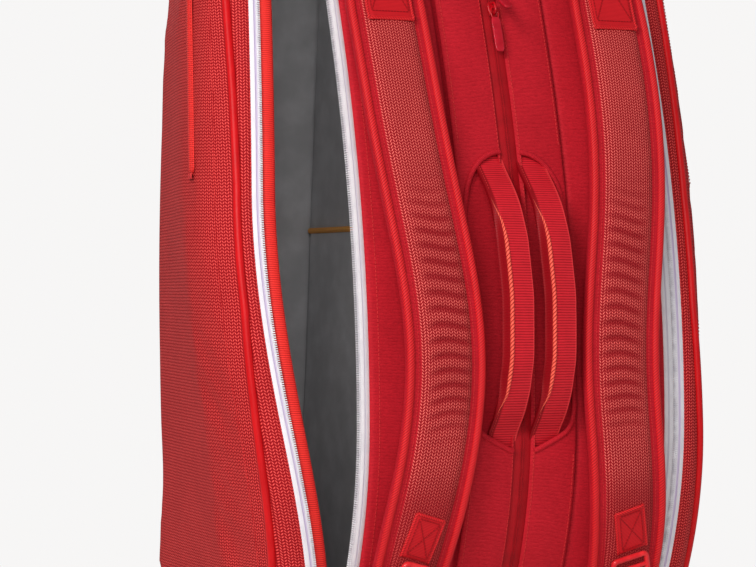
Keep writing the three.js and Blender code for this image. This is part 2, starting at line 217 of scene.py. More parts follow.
def smooth(s):
    s = np.clip(s, 0, 1)
    return s * s * (3 - 2 * s)


def swing(points, side, zone):
    """Opens the left cover from its closed shape, as far as its weights allow; the right one is closed at rest."""
    if side > 0:
        return points
    pivot = HINGE * np.array([side, 1, 1])
    local = points - pivot
    along = local @ HINGE_AXIS
    low, high = LOW_FADE if zone == "low" else HIGH_FADE
    weight = smooth((along - low) / (high - low))
    if zone == "high":
        weight = 1 - weight
    turn = -OPEN_ANGLE * weight
    cos, sin = np.cos(turn)[..., None], np.sin(turn)[..., None]
    crossed = np.cross(np.broadcast_to(HINGE_AXIS, local.shape), local)
    turned = local * cos + crossed * sin + HINGE_AXIS * along[..., None] * (1 - cos)
    return turned + pivot


# ---------------------------------------------------------------- mesh building
def distance_along(line):
    return np.append(0, np.cumsum(np.linalg.norm(np.diff(line, axis=0), axis=1)))


def grid_normals(points):
    normal = np.cross(np.gradient(points, axis=1), np.gradient(points, axis=0))
    length = np.linalg.norm(normal, axis=-1, keepdims=True)
    return normal / np.maximum(length, 1e-9)


def border(grid):
    """The outer entries of a grid, in order round it."""
    return np.concatenate([grid[0], grid[1:, -1], grid[-1, -2::-1], grid[-2:0:-1, 0]])


def facing(side, grid):
    """A grid laid out for the right side; on the left its columns are reversed, so it still faces out."""
    return grid if side > 0 else grid[:, ::-1]


def rounded_rectangle(half_x, half_y, radius):
    """Points round a rectangle; the halves reach to the centres of its round corners."""
    signs = ((1, -1, -90), (1, 1, 0), (-1, 1, 90), (-1, -1, 180))
    return [
        (i * half_x + radius * math.cos(angle), j * half_y + radius * math.sin(angle))
        for i, j, start in signs
        for angle in np.radians(np.linspace(start, start + 90, 7))
    ]


def squarish(angle, half_x, half_y, power_x, power_y):
    """A point on a rounded outline between an ellipse and a rectangle."""
    cos, sin = math.cos(angle), math.sin(angle)
    return half_x * np.sign(cos) * abs(cos) ** power_x, half_y * np.sign(sin) * abs(sin) ** power_y


class Piece:
    """Collects surfaces with texture coordinates in millimetres, then becomes one object."""

    def __init__(self, name, *materials):
        self.name = name
        self.materials = materials
        self.vertices, self.faces, self.uvs, self.slots = [], [], [], []
        self.count = 0

    def add(self, vertices, faces, uvs, slot=0):
        vertices = np.asarray(vertices, float).reshape(-1, 3)
        self.vertices.append(vertices)
        self.faces.extend([tuple(int(i) + self.count for i in face) for face in faces])
        self.uvs.extend(uvs)
        self.slots.extend([slot] * len(faces))
        self.count += len(vertices)

    def grid(self, points, uv, slot=0, wrap=False):
        """points: rows x columns x 3; uv: rows x columns (one more column where it wraps) x 2."""
        rows, columns = points.shape[:2]
        faces, corners = [], []
        for i in range(rows - 1):
            for j in range(columns if wrap else columns - 1):
                k = (j + 1) % columns
                faces.append((i * columns + j, i * columns + k, (i + 1) * columns + k, (i + 1) * columns + j))
                corners.append((uv[i, j], uv[i, j + 1], uv[i + 1, j + 1], uv[i + 1, j]))
        self.add(points, faces, corners, slot)

    def loft(self, points, slot=0, v=None):
        """A tube through closed loops, capped at both ends."""
        rows, columns = points.shape[:2]
        middle = points[rows // 2]
        u = distance_along(np.concatenate([middle, middle[:1]]))
        if v is None:
            v = distance_along(points.mean(axis=1))
        base = self.count
        self.grid(points, stacked(u[None, :], v[:, None]), slot, wrap=True)
        for row in (0, rows - 1):
            flat = points[row] - points[row].mean(axis=0)
            self.faces.append(tuple(base + row * columns + j for j in range(columns)))
            self.uvs.append([(p[0], p[1] + p[2]) for p in flat])
            self.slots.append(slot)

    def tube(self, line, radius, up, slot=0, sides=12, flat=1.0):
        """Sweeps a round or flattened section along a line of points."""
        line = np.asarray(line, float)
        direction = np.gradient(line, axis=0)
        direction /= np.maximum(np.linalg.norm(direction, axis=1, keepdims=True), 1e-9)
        across = np.cross(direction, np.broadcast_to(np.asarray(up, float), line.shape))
        across /= np.maximum(np.linalg.norm(across, axis=1, keepdims=True), 1e-9)
        lift = np.cross(across, direction)
        turn = np.linspace(0, 2 * math.pi, sides, endpoint=False)[:, None]
        rings = line[:, None] + across[:, None] * (radius * np.cos(turn))
        self.loft(rings + lift[:, None] * (flat * radius * np.sin(turn)), slot)

    def shell(self, points, uv, thick, slot=0, inner=None):
        """A closed sheet: the given surface, one behind it, and the rim between them."""
        behind = points - grid_normals(points) * thick
        self.grid(points, uv, slot)
        self.grid(behind[:, ::-1], uv[:, ::-1], slot if inner is None else inner)
        around = border(uv)
        around = np.concatenate([around, around[:1]])
        self.grid(np.stack([border(behind), border(points)]), np.stack([around, around]), slot, wrap=True)

    def block(self, centre, half, axes, slot=0, taper=0.8):
        """A small box with a narrower top, for a stitch or a tooth."""
        a, b, c = axes
        corners = []
        for k, scale in ((-1, 1.0), (1, taper)):
            for i, j in ((-1, -1), (1, -1), (1, 1), (-1, 1)):
                corners.append(centre + a * half[0] * i * scale + b * half[1] * j * scale + c * half[2] * k)
        faces = [(0, 3, 2, 1), (4, 5, 6, 7), (0, 1, 5, 4), (1, 2, 6, 5), (2, 3, 7, 6), (3, 0, 4, 7)]
        uvs = [[(0, 0), (1, 0), (1, 1), (0, 1)]] * 6
        self.add(corners, faces, uvs, slot)

    def stitches(self, line, normal, slot, pitch=3.2, length=2.4, width=0.7, lift=0.25):
        """Thread dashes along a line of points; normal is one direction, or one for each point."""
        normal = np.broadcast_to(np.asarray(normal, float), line.shape)
        along = distance_along(line)

        def at(distance, values):
            return np.array([np.interp(distance, along, values[:, k]) for k in range(3)])

        for start in np.arange(0.5, along[-1] - length, pitch):
            first, last = at(start, line), at(start + length, line)
            direction, up = unit(last - first), unit(at(start, normal))
            centre = (first + last) / 2 + up * lift * 0.4
            axes = (direction, np.cross(up, direction), up)
            self.block(centre, (length / 2, width / 2, lift), axes, slot, 0.7)

    def move(self, change):
        self.vertices = [change(v) for v in self.vertices]
        return self

    def build(self):
        mesh = bpy.data.meshes.new(self.name)
        points = to_frame(np.concatenate(self.vertices))
        mesh.from_pydata(points.tolist(), [], self.faces)
        layer = mesh.uv_layers.new(name="UVMap")
        flat = np.array([c for face in self.uvs for corner in face for c in corner], np.float32)
        layer.data.foreach_set("uv", flat)
        for material in self.materials:
            mesh.materials.append(material)
        mesh.polygons.foreach_set("material_index", np.array(self.slots, np.int32))
        mesh.polygons.foreach_set("use_smooth", np.full(len(self.faces), True))
        work = bmesh.new()
        work.from_mesh(mesh)
        bmesh.ops.recalc_face_normals(work, faces=work.faces)
        work.to_mesh(mesh)
        work.free()
        mesh.update()
        obj = bpy.data.objects.new(self.name, mesh)
        scene.collection.objects.link(obj)
        mesh.set_sharp_from_angle(angle=math.radians(50))
        return obj


def across_run(points):
    """Distance across each row of a grid, from its first column."""
    steps = np.linalg.norm(np.diff(points, axis=1), axis=-1)
    return np.pad(np.cumsum(steps, axis=1), ((0, 0), (1, 0)))


def measured(points):
    """Texture coordinates of a grid, in millimetres: distance across, and along the rows."""
    steps = np.linalg.norm(np.diff(points, axis=0), axis=-1).mean(axis=1)
    return stacked(across_run(points), np.append(0, np.cumsum(steps))[:, None])


HEIGHTS = np.linspace(0, HEIGHT, 1521)
FRONT_RUN = np.append(0, np.cumsum(np.hypot(np.diff(HEIGHTS), np.diff(front(HEIGHTS)))))


def run(z):
    """Distance along the strap side from the base, for the texture."""
    return np.interp(z, HEIGHTS, FRONT_RUN)


def front_uv(x, z):
    return stacked(x, run(z))


def front_sheet(piece, side, x, z, depth, thick, inner=None):
    """Adds a sheet on the strap side, given by x, z and depth of the right half."""
    points, uv = on_front(side * x, z, depth), front_uv(side * x, z)
    piece.shell(facing(side, points), facing(side, uv), thick, inner=inner)


def front_seam(piece, x, z, depth, slot=2, **sizes):
    piece.stitches(on_front(x, z, depth), FORWARD, slot, **sizes)


# ---------------------------------------------------------------- materials
def srgb(red, green, blue):
    def linear(c):
        c /= 255
        return ((c + 0.055) / 1.055) ** 2.4 if c > 0.04045 else c / 12.92

    return (linear(red), linear(green), linear(blue), 1.0)


class Look:
    """A node material whose patterns are drawn in millimetres of the piece's texture coordinates."""

    def __init__(self, name, roughness, coat=0.0):
        self.material = bpy.data.materials.new(name)
        self.material.use_nodes = True
        self.tree = self.material.node_tree
        self.shader = self.tree.nodes["Principled BSDF"]
        self.shader.inputs["Roughness"].default_value = roughness
        self.shader.inputs["Coat Weight"].default_value = coat
        self.shader.inputs["Specular IOR Level"].default_value = 0.22
        self.uv_vector = self.node("UVMap").outputs["UV"]
        split = self.node("SeparateXYZ", Vector=self.uv_vector)
        self.u, self.v = split.outputs["X"], split.outputs["Y"]
        self.position = self.node("TexCoord").outputs["Object"]

    def put(self, value, socket):
        if isinstance(value, bpy.types.NodeSocket):
            self.tree.links.new(value, socket)
        else:
            socket.default_value = value

    def node(self, kind, **inputs):
        """A new node with some of its inputs set or linked; an underscore in a name stands for a space."""
        node = self.tree.nodes.new(f"ShaderNode{kind}")
        for name, value in inputs.items():
            self.put(value, node.inputs[name.replace("_", " ")])
        return node

    def math(self, operation, a, b=0.0, c=0.0):
        node = self.node("Math")
        node.operation = operation
        for value, socket in zip((a, b, c), node.inputs):
            self.put(value, socket)
        return node.outputs[0]

    def add(self, a, b):
        return self.math("ADD", a, b)

    def times(self, a, b):
        return self.math("MULTIPLY", a, b)

    def wave(self, value, pitch):
        """From 0 to 1 and back over each pitch."""
        return self.math("MULTIPLY_ADD", self.math("SINE", self.times(value, 2 * math.pi / pitch)), 0.5, 0.5)

    def ridge(self, value, pitch):
        """Round ridges with narrow grooves."""
        return self.math("ABSOLUTE", self.math("SINE", self.times(value, math.pi / pitch)))

    def step(self, value, low, high):
        """Rises from 0 to 1 while the value goes from low to high."""
        node = self.node("MapRange", Value=value, From_Min=low, From_Max=high)
        node.interpolation_type = "SMOOTHSTEP"
        return node.outputs["Result"]

    def noise(self, size, detail=2.0, stretch=(1, 1, 1), vector=None):
        """Soft noise whose features are about size millimetres."""
        scale = 1 / (size * MM) if vector is None else 1 / size
        source = self.position if vector is None else vector
        mapping = self.node("Mapping", Scale=[s * scale for s in stretch], Vector=source)
        return self.node("TexNoise", Scale=1.0, Detail=detail, Vector=mapping.outputs[0]).outputs["Fac"]

    def mix(self, factor, a, b, blend="MIX"):
        node = self.node("Mix")
        node.data_type = "RGBA"
        node.blend_type = blend
        for name, value in (("Factor", factor), ("A", a), ("B", b)):
            self.put(value, node.inputs[name])
        return node.outputs["Result"]

    def tone(self, value, low, high, dark, light):
        return self.mix(self.step(value, low, high), dark, light)

    def aged(self, colour, amount, size):
        """Uneven dye and slight rubbing, on top of the pattern's own colours."""
        uneven = self.step(self.noise(size, 3.0), 0.3, 0.75)
        return self.mix(self.times(uneven, amount), colour, (0.6, 0.3, 0.36, 1), "MULTIPLY")

    def finish(self, colour, height, depth_mm, roughness, rough_by=None, strength=1.0):
        """Sets colour, roughness between two limits and bump, and returns the material."""
        self.put(colour, self.shader.inputs["Base Color"])
        rough_by = height if rough_by is None else rough_by
        rough = self.node("MapRange", Value=rough_by, To_Min=roughness[0], To_Max=roughness[1])
        self.put(rough.outputs["Result"], self.shader.inputs["Roughness"])
        bump = self.node("Bump", Strength=strength, Distance=depth_mm * MM, Height=height)
        self.put(bump.outputs[0], self.shader.inputs["Normal"])
        return self.material


def knit_look(name, dark, light, pitch, row, slant, crease_shaded=False):
    look = Look(name, 0.8)
    zigzag = look.times(look.math("PINGPONG", look.u, pitch / 2), 2 * slant / pitch)
    wander = look.times(look.noise(9, 1.0), 0.35)
    stroke = look.wave(look.add(look.add(look.times(look.v, 1 / row), zigzag), wander), 1.0)
    column = look.ridge(look.u, pitch / 2)
    height = look.times(look.math("POWER", stroke, 0.8), look.math("MULTIPLY_ADD", column, 0.75, 0.25))
    thread = look.step(height, 0.38, 0.78)
    fibre = look.step(look.noise(0.7), 0.3, 0.7)
    colour = look.mix(thread, dark, look.mix(look.times(fibre, 0.35), light, dark))
    # painted shade: on the pad the crease attribute mixes the knit towards dark red, in the hollows of its folds
    # and towards its lower end
    if crease_shaded:
        crease = look.node("Attribute")
        crease.attribute_name = "crease"
        painted_valley_shade = look.mix(look.times(thread, 0.5), srgb(128, 0, 14), srgb(196, 14, 34))
        colour = look.mix(crease.outputs["Fac"], colour, painted_valley_shade)
    return look.finish(look.aged(colour, 0.2, 45), height, 0.26, (0.9, 0.62))


def weave_look(name, dark, light, pitch, depth):
    look = Look(name, 0.75)
    slub = look.noise(1.0, 2.0, (0.25, 1.1, 1), look.uv_vector)
    rib = look.wave(look.add(look.v, look.times(slub, 0.8)), pitch)
    warp = look.wave(look.u, 0.75)
    height = look.add(look.times(rib, 0.75), look.times(look.times(warp, rib), 0.25))
    grain = look.noise(0.9)
    tone = look.add(look.times(height, 0.38), look.add(look.times(slub, 0.3), look.times(grain, 0.4)))
    colour = look.tone(tone, 0.18, 0.82, dark, light)
    return look.finish(look.aged(colour, 0.25, 42), height, depth, (0.88, 0.66))


def webbing_look(name, dark, light, pitch=1.8, depth=0.18, fold=None):
    look = Look(name, 0.62)
    uneven = look.noise(6)
    rib = look.math("POWER", look.ridge(look.add(look.v, look.times(uneven, 0.4)), pitch), 0.7)
    warp = look.wave(look.u, 0.9)
    height = look.add(look.times(rib, 0.85), look.times(warp, 0.15))
    tone = look.add(look.times(height, 0.85), look.times(uneven, 0.2))
    colour = look.tone(tone, 0.15, 1.0, dark, light)
    # painted shade: given a fold, the side face beside it (u below -reach) takes a darker colour for the shade it
    # stands in; the webbing is also mixed lighter along its right edge, u above 11
    if fold:
        reach, side_shade, edge = fold
        turned = look.step(look.times(look.u, -1), reach - 0.8, reach + 0.8)
        colour = look.mix(turned, colour, side_shade)
        lighter_right_edge = look.step(look.u, 10.6, 11.4)
        colour = look.mix(look.times(lighter_right_edge, 0.6), colour, edge)
    return look.finish(look.aged(colour, 0.2, 30), height, depth, (0.8, 0.5))


def twill_look(name, dark, light, pitch=2.2, depth=0.24):
    look = Look(name, 0.62)
    diagonal = look.add(look.times(look.v, 0.8), look.times(look.u, 0.62))
    rib = look.math("POWER", look.ridge(diagonal, pitch * 0.8), 0.75)
    height = look.add(look.times(rib, 0.9), look.times(look.noise(0.6, 1.0), 0.1))
    colour = look.tone(height, 0.15, 0.95, dark, light)
    return look.finish(look.aged(colour, 0.2, 28), height, depth, (0.8, 0.5))


def satin_look(name, dark, light):
    look = Look(name, 0.42)
    diagonal = look.wave(look.add(look.v, look.u), 0.9)
    streak = look.noise(5, 2.0, (1, 1, 0.15))
    height = look.add(look.times(diagonal, 0.4), look.times(streak, 0.6))
    colour = look.tone(height, 0.15, 0.9, dark, light)
    return look.finish(look.aged(colour, 0.18, 26), height, 0.08, (0.36, 0.5), streak)


def tape_look(name, dark, light, pitch=1.3, row=0.9, line=None):
    look = Look(name, 0.6)
    zigzag = look.times(look.math("PINGPONG", look.u, pitch / 2), 1.4 / pitch)
    stroke = look.wave(look.add(look.times(look.v, 1 / row), zigzag), 1.0)
    soil = look.step(look.noise(14, 3.0), 0.35, 0.8)
    tone = look.add(look.times(stroke, 0.8), look.times(soil, -0.3))
    colour = look.tone(tone, -0.2, 0.8, dark, light)
    # painted shade: given a line, a lilac stripe of that width at |u| = middle, for the shade in the tape's groove
    if line:
        middle, width, groove_shade = line
        off_line = look.math("ABSOLUTE", look.math("SUBTRACT", look.math("ABSOLUTE", look.u), middle))
        beside = look.step(off_line, width / 2 - 0.15, width / 2 + 0.15)
        colour = look.mix(beside, look.mix(stroke, dark, groove_shade), colour)
    return look.finish(colour, stroke, 0.12, (0.75, 0.5))


def coated_look(name, dark, light):
    look = Look(name, 0.6)
    grid = look.times(look.wave(look.u, 0.9), look.wave(look.v, 0.9))
    crease = look.noise(22, 4.0)
    tone = look.add(look.times(grid, 0.35), look.times(crease, 0.65))
    height = look.add(look.times(grid, 0.12), look.times(crease, 0.9))
    return look.finish(look.tone(tone, 0.2, 0.8, dark, light), height, 0.9, (0.5, 0.72), crease, 0.8)


def moulded_look(name, dark, light, roughness=(0.26, 0.42)):
    look = Look(name, 0.3, coat=0.15)
    speck, cloud = look.noise(0.5), look.noise(7, 3.0)
    rough_by = look.add(look.times(speck, 0.5), look.times(cloud, 0.5))
    return look.finish(look.tone(cloud, 0.3, 0.75, dark, light), speck, 0.03, roughness, rough_by)


KNIT = knit_look("knit", srgb(146, 0, 14), srgb(255, 88, 84), pitch=4.6, row=2.5, slant=0.85)
# the pad's knit, with painted shade read from its crease attribute
PAD_KNIT = knit_look(
    "pad_knit", srgb(140, 0, 16), srgb(255, 116, 108), pitch=4.4, row=2.3, slant=1.15, crease_shaded=True
)
WEAVE = weave_look("weave", srgb(146, 0, 20), srgb(206, 28, 44), pitch=1.12, depth=0.08)
WEBBING = webbing_look("webbing", srgb(150, 0, 14), srgb(222, 34, 44))
GUARD = webbing_look("guard_webbing", srgb(178, 4, 14), srgb(248, 56, 48), pitch=1.7, depth=0.24)
# the handles' rolled ridge: real twill ribs, in brighter colours than the grip as a painted highlight along the
# ridge
FOLD_HIGHLIGHT = twill_look("folded_webbing_highlight", srgb(150, 2, 10), srgb(255, 104, 84), pitch=3.1, depth=0.3)
# the grip's fold reach, the painted shade colour of its side face, and the lighter colour of its right edge
GRIP_FOLD_SHADE = (8.4, srgb(140, 0, 14), srgb(232, 60, 64))
GRIP = webbing_look("grip_webbing", srgb(140, 0, 18), srgb(216, 32, 46), pitch=2.0, depth=0.2, fold=GRIP_FOLD_SHADE)
TWILL = twill_look("twill_binding", srgb(150, 2, 14), srgb(220, 34, 40))
SATIN = satin_look("satin_piping", srgb(180, 2, 12), srgb(222, 14, 22))
# the cover tape's groove: where it runs, its width, and the lilac of the shade painted in it
OUTER_GROOVE_SHADE = (143.9, 1.9, srgb(206, 184, 226))
TAPE = tape_look("zip_tape_outer", srgb(214, 210, 222), srgb(250, 248, 252), line=OUTER_GROOVE_SHADE)
# the body tape's groove: where it runs, its width, and the lilac of the shade painted in it
INNER_GROOVE_SHADE = (134.0, 1.6, srgb(208, 200, 216))
TAPE_INNER = tape_look("zip_tape_inner", srgb(210, 208, 216), srgb(248, 247, 250), line=INNER_GROOVE_SHADE)
TEETH = moulded_look("zip_teeth", srgb(214, 212, 220), srgb(246, 246, 250))
RED_TAPE = tape_look("zip_tape_red", srgb(130, 0, 12), srgb(186, 10, 26), pitch=1.5, row=1.0)
COIL = tape_look("zip_coil_red", srgb(96, 0, 8), srgb(196, 14, 30), pitch=2.0, row=1.3)
LINING = coated_look("grey_lining", srgb(168, 168, 170), srgb(206, 206, 209))
POCKET_CLOTH = coated_look("grey_pocket", srgb(182, 182, 184), srgb(220, 220, 223))
TAN_EDGE = twill_look("tan_edge", srgb(252, 150, 58), srgb(255, 192, 100), pitch=1.4)
PLASTIC = moulded_look("red_plastic", srgb(206, 26, 36), srgb(230, 46, 50))
PULL_PLASTIC = moulded_look("red_rubber", srgb(166, 10, 30), srgb(188, 24, 44), (0.34, 0.48))
METAL = moulded_look("painted_metal", srgb(160, 4, 18), srgb(192, 12, 26), (0.22, 0.36))
PATCH = webbing_look("patch_webbing", srgb(158, 2, 16), srgb(206, 24, 34), pitch=1.1, depth=0.08)
DARK_THREAD = twill_look("dark_thread", srgb(126, 0, 10), srgb(168, 6, 20), pitch=0.7, depth=0.1)
THREAD = twill_look("thread", srgb(150, 4, 16), srgb(228, 60, 62), pitch=0.7, depth=0.1)
FLOOR = moulded_look("floor_paint", srgb(228, 227, 225), srgb(238, 237, 235), (0.5, 0.7))


def finish_piece(obj, slot_name, *nodes, body=None, blend=None):
    """Hides the CAD parts a piece stands for, and hangs it on the body it rides on, or, given a blend, bakes its
    transform into its mesh; slot_name is not used.
    """
    if nodes:
        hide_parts(*nodes)
    if body:
        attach(obj, body)
    if blend:
        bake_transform(obj)


# ---------------------------------------------------------------- side covers
POCKET_LOW, POCKET_HIGH, POCKET_SETBACK = 442.0, 668.0, 58.0
POCKET_SLOPE = float(front(POCKET_HIGH) - front(POCKET_LOW)) / (POCKET_HIGH - POCKET_LOW)
BAND_HEIGHTS = [0, 60, 139, 214, 284, 340, 432, 507, 581, 660, 745, 760]
BAND_WIDTHS = [26, 31, 31, 25, 19, 13.5, 12.5, 16, 21, 24, 22, 20]
CORNER_RADIUS = 38.0
CORNER_START = math.radians(8)
FLANK_DEPTH, BACK_SOFT = 74.0, 46.0
LOW_SOFT, HIGH_SOFT = 52.0, 60.0
FLANK_LOW, FLANK_HIGH = 3.0, 757.0
TOP_CORNER_Z, TOP_CORNER = 742.0, 15.01
ZONES = {"low": (FLANK_LOW, SPLIT_Z), "high": (SPLIT_Z, FLANK_HIGH)}
LOW_END_ROWS = np.array([0, 1, 2.5, 4.5, 7, 10, 14, 19, 25, 32, 40])
HIGH_END_ROWS = np.array([38, 31, 24, 18, 13, 9, 6, 3.5, 1.8, 0.8, 0])
SWELL_FRAMES, SWELL_CAP = 14, 3.5
SWELL_CLOTH = {
    "quality": 5,
    "mass": 0.3,
    "tension_stiffness": 18.0,
    "compression_stiffness": 18.0,
    "shear_stiffness": 9.0,
    "bending_stiffness": 0.6,
    "vertex_group_mass": "pin",
    "use_pressure": True,
    "uniform_pressure_force": 5.0,
}
TOOTH_DEPTH, TOOTH_PITCH, TOOTH_LENGTH = 6.4, 1.75, 3.0
OUTER_TAPE = ((141.0, 6.6), (142.0, 6.0), (143.8, 5.9), (144.1, 6.5), (144.6, 5.7), (147.2, 5.6), (149.0, 6.8))
INNER_TAPE = ((129.4, 7.4), (130.6, 6.2), (133.4, 6.0), (133.8, 6.5), (134.3, 5.9), (137.6, 5.9), (138.8, 6.6))


def pocket_line(z):
    return float(front(POCKET_LOW)) + POCKET_SLOPE * (np.asarray(z, float) - POCKET_LOW) + POCKET_SETBACK


def band_width(z):
    return np.interp(z, BAND_HEIGHTS, np.convolve(np.pad(BAND_WIDTHS, 1, mode="edge"), [0.2, 0.6, 0.2], "valid"))


def ends_closed(z):
    """1 along the cover, falling to 0 where its two ends are sewn to the body."""
    z = np.asarray(z, float)
    return quarter((z - FLANK_LOW) / LOW_SOFT) * quarter((FLANK_HIGH - z) / HIGH_SOFT)


def corner(arc):
    """x outward of the tape's edge and extra depth, at a distance round the cover's front corner."""
    angle = CORNER_START + arc / CORNER_RADIUS
    x = CORNER_RADIUS * (np.sin(angle) - math.sin(CORNER_START))
    return x, CORNER_RADIUS * (math.cos(CORNER_START) - np.cos(angle))


def piping_place(z):
    x, depth = corner(band_width(z))
    closed = ends_closed(z)
    return CLOSED_X + (TAPE_OUT + x - CLOSED_X) * closed, SIDE_DEPTH + 1 + depth * closed


def top_rounding(z):
    return 1 - np.sqrt(1 - np.clip((z - TOP_CORNER_Z) / TOP_CORNER, 0, 1) ** 2)


def outline_front(z):
    """Y of the flank's front edge, rounded at the top corner."""
    z = np.asarray(z, float)
    _, depth = piping_place(np.clip(z, STRIP_LOW, TOP_CORNER_Z))
    edge = front(np.minimum(z, TOP_CORNER_Z)) + depth * np.hypot(1, front_slope(z))
    return edge + 22 * top_rounding(z)


def outline_back(z):
    z = np.asarray(z, float)
    return back(np.minimum(z, TOP_CORNER_Z)) - 3 - 20 * top_rounding(z)


def flank_surface(z, share, side, inset=0.0):
    """The puffed outer face; share 0 at the front edge, 1 at the back edge."""
    y_front, y_back = outline_front(z), outline_back(z)
    y = y_front + (y_back - y_front) * share
    edge_x, _ = piping_place(z)
    from_front = quarter((y - y_front) / FLANK_DEPTH)
    from_back = quarter((y_back - y) / BACK_SOFT)
    full = FLANK_X + np.sin(z / 95.0) * np.sin(y / 60.0 + 1.0)
    closed = ends_closed(z)
    x = full - (full - edge_x) * (1 - from_front) * closed - (full - RIM_X) * (1 - from_back)
    return stacked(side * (CLOSED_X + (x - CLOSED_X) * closed - inset), y, z)


def spaced_shares(count):
    """Shares from 0 to 1, closer together towards both ends."""
    t = np.linspace(0, 1, count)
    return 0.5 * (np.sin(np.pi * (t - 0.5)) + 1) * (1 - 1 / 1.7) + t / 1.7


def inflate(points):
    """Lets a sheet pinned at its border swell as cloth; its points move no further than the cap."""
    index = np.arange(points.size // 3).reshape(points.shape[:2])
    faces = stacked(index[:-1, :-1], index[:-1, 1:], index[1:, 1:], index[1:, :-1]).reshape(-1, 4)
    flat = (points * MM).reshape(-1, 3)
    mesh = bpy.data.meshes.new("swelling")
    mesh.from_pydata(flat.tolist(), [], faces.tolist())
    obj = bpy.data.objects.new("swelling", mesh)
    scene.collection.objects.link(obj)
    obj.vertex_groups.new(name="pin").add(border(index).tolist(), 1.0, "REPLACE")
    cloth = obj.modifiers.new("cloth", "CLOTH")
    for name, value in SWELL_CLOTH.items():
        setattr(cloth.settings, name, value)
    cloth.settings.effector_weights.gravity = 0
    cloth.collision_settings.use_collision = False
    cloth.point_cache.frame_start = 1
    cloth.point_cache.frame_end = SWELL_FRAMES
    for frame_number in range(1, SWELL_FRAMES + 1):
        scene.frame_set(frame_number)
    evaluated = obj.evaluated_get(bpy.context.evaluated_depsgraph_get())
    moved = (np.array([v.co for v in evaluated.data.vertices]) - flat) / MM
    scene.frame_set(1)
    bpy.data.objects.remove(obj)
    length = np.linalg.norm(moved, axis=1, keepdims=True)
    moved *= np.minimum(1, SWELL_CAP / np.maximum(length, 1e-9))
    return points + moved.reshape(points.shape)


def zip_teeth(piece, side, x, z_low, z_high):
    """Moulded teeth along a tape's edge."""
    for z in np.arange(z_low, z_high, TOOTH_PITCH):
        near = on_front(side * x, z, TOOTH_DEPTH)
        far = on_front(side * (x + TOOTH_LENGTH), z, TOOTH_DEPTH)
        up = on_front(side * x, z, TOOTH_DEPTH - 1) - near
        along = unit(far - near)
        axes = (along, np.cross(up, along), up)
        piece.block((near + far) / 2, (TOOTH_LENGTH / 2, 0.48, 0.95), axes, 1, 0.78)


def zip_half(name, material, side, z, profile, teeth_x, teeth_low, teeth_high):
    """One tape of a side zip, given by x and depth across it, with its teeth."""
    x, depth = np.array(profile).T[:, None]
    half = Piece(name, material, TEETH)
    front_sheet(half, side, x, z[:, None], depth, 1.0)
    zip_teeth(half, side, teeth_x, teeth_low, teeth_high)
    return half


def cover_blend(side, label, zone):
    low, high = LOW_FADE if zone == "low" else HIGH_FADE
    bodies = ("bag_body", f"{label}_cover") if zone == "low" else (f"{label}_cover", "bag_body")
    return (*bodies, hinge_point(side, low), hinge_point(side, high))


def piping_line(side, zone):
    """Along one edge of the flank, round the cover's end, and along the other edge."""
    if zone == "low":
        z_front, z_back = np.linspace(SPLIT_Z, FLANK_LOW + 6, 110), np.linspace(FLANK_LOW + 6, SPLIT_Z, 80)
    else:
        z_front, z_back = np.linspace(FLANK_HIGH - 2, SPLIT_Z, 40), np.linspace(SPLIT_Z, FLANK_HIGH - 2, 30)
    front_x, _ = piping_place(z_front)
    front_line = stacked(side * (front_x - 1.0), outline_front(z_front) - 3.6, z_front)
    back_line = stacked(side * (RIM_X - 1.0), outline_back(z_back) + 2.6, z_back)
    first, last = (front_line, back_line) if zone == "low" else (back_line, front_line)
    t = np.linspace(0, 1, 40)[1:-1]
    bend = np.abs(2 * t - 1) ** 8
    end_z = FLANK_LOW + 1.5 + 4.5 * bend if zone == "low" else FLANK_HIGH + 0.5 - 2.0 * bend
    end_line = stacked(side * 157.0, first[-1, 1] + (last[0, 1] - first[-1, 1]) * t, end_z)
    return np.concatenate([first, end_line, last])


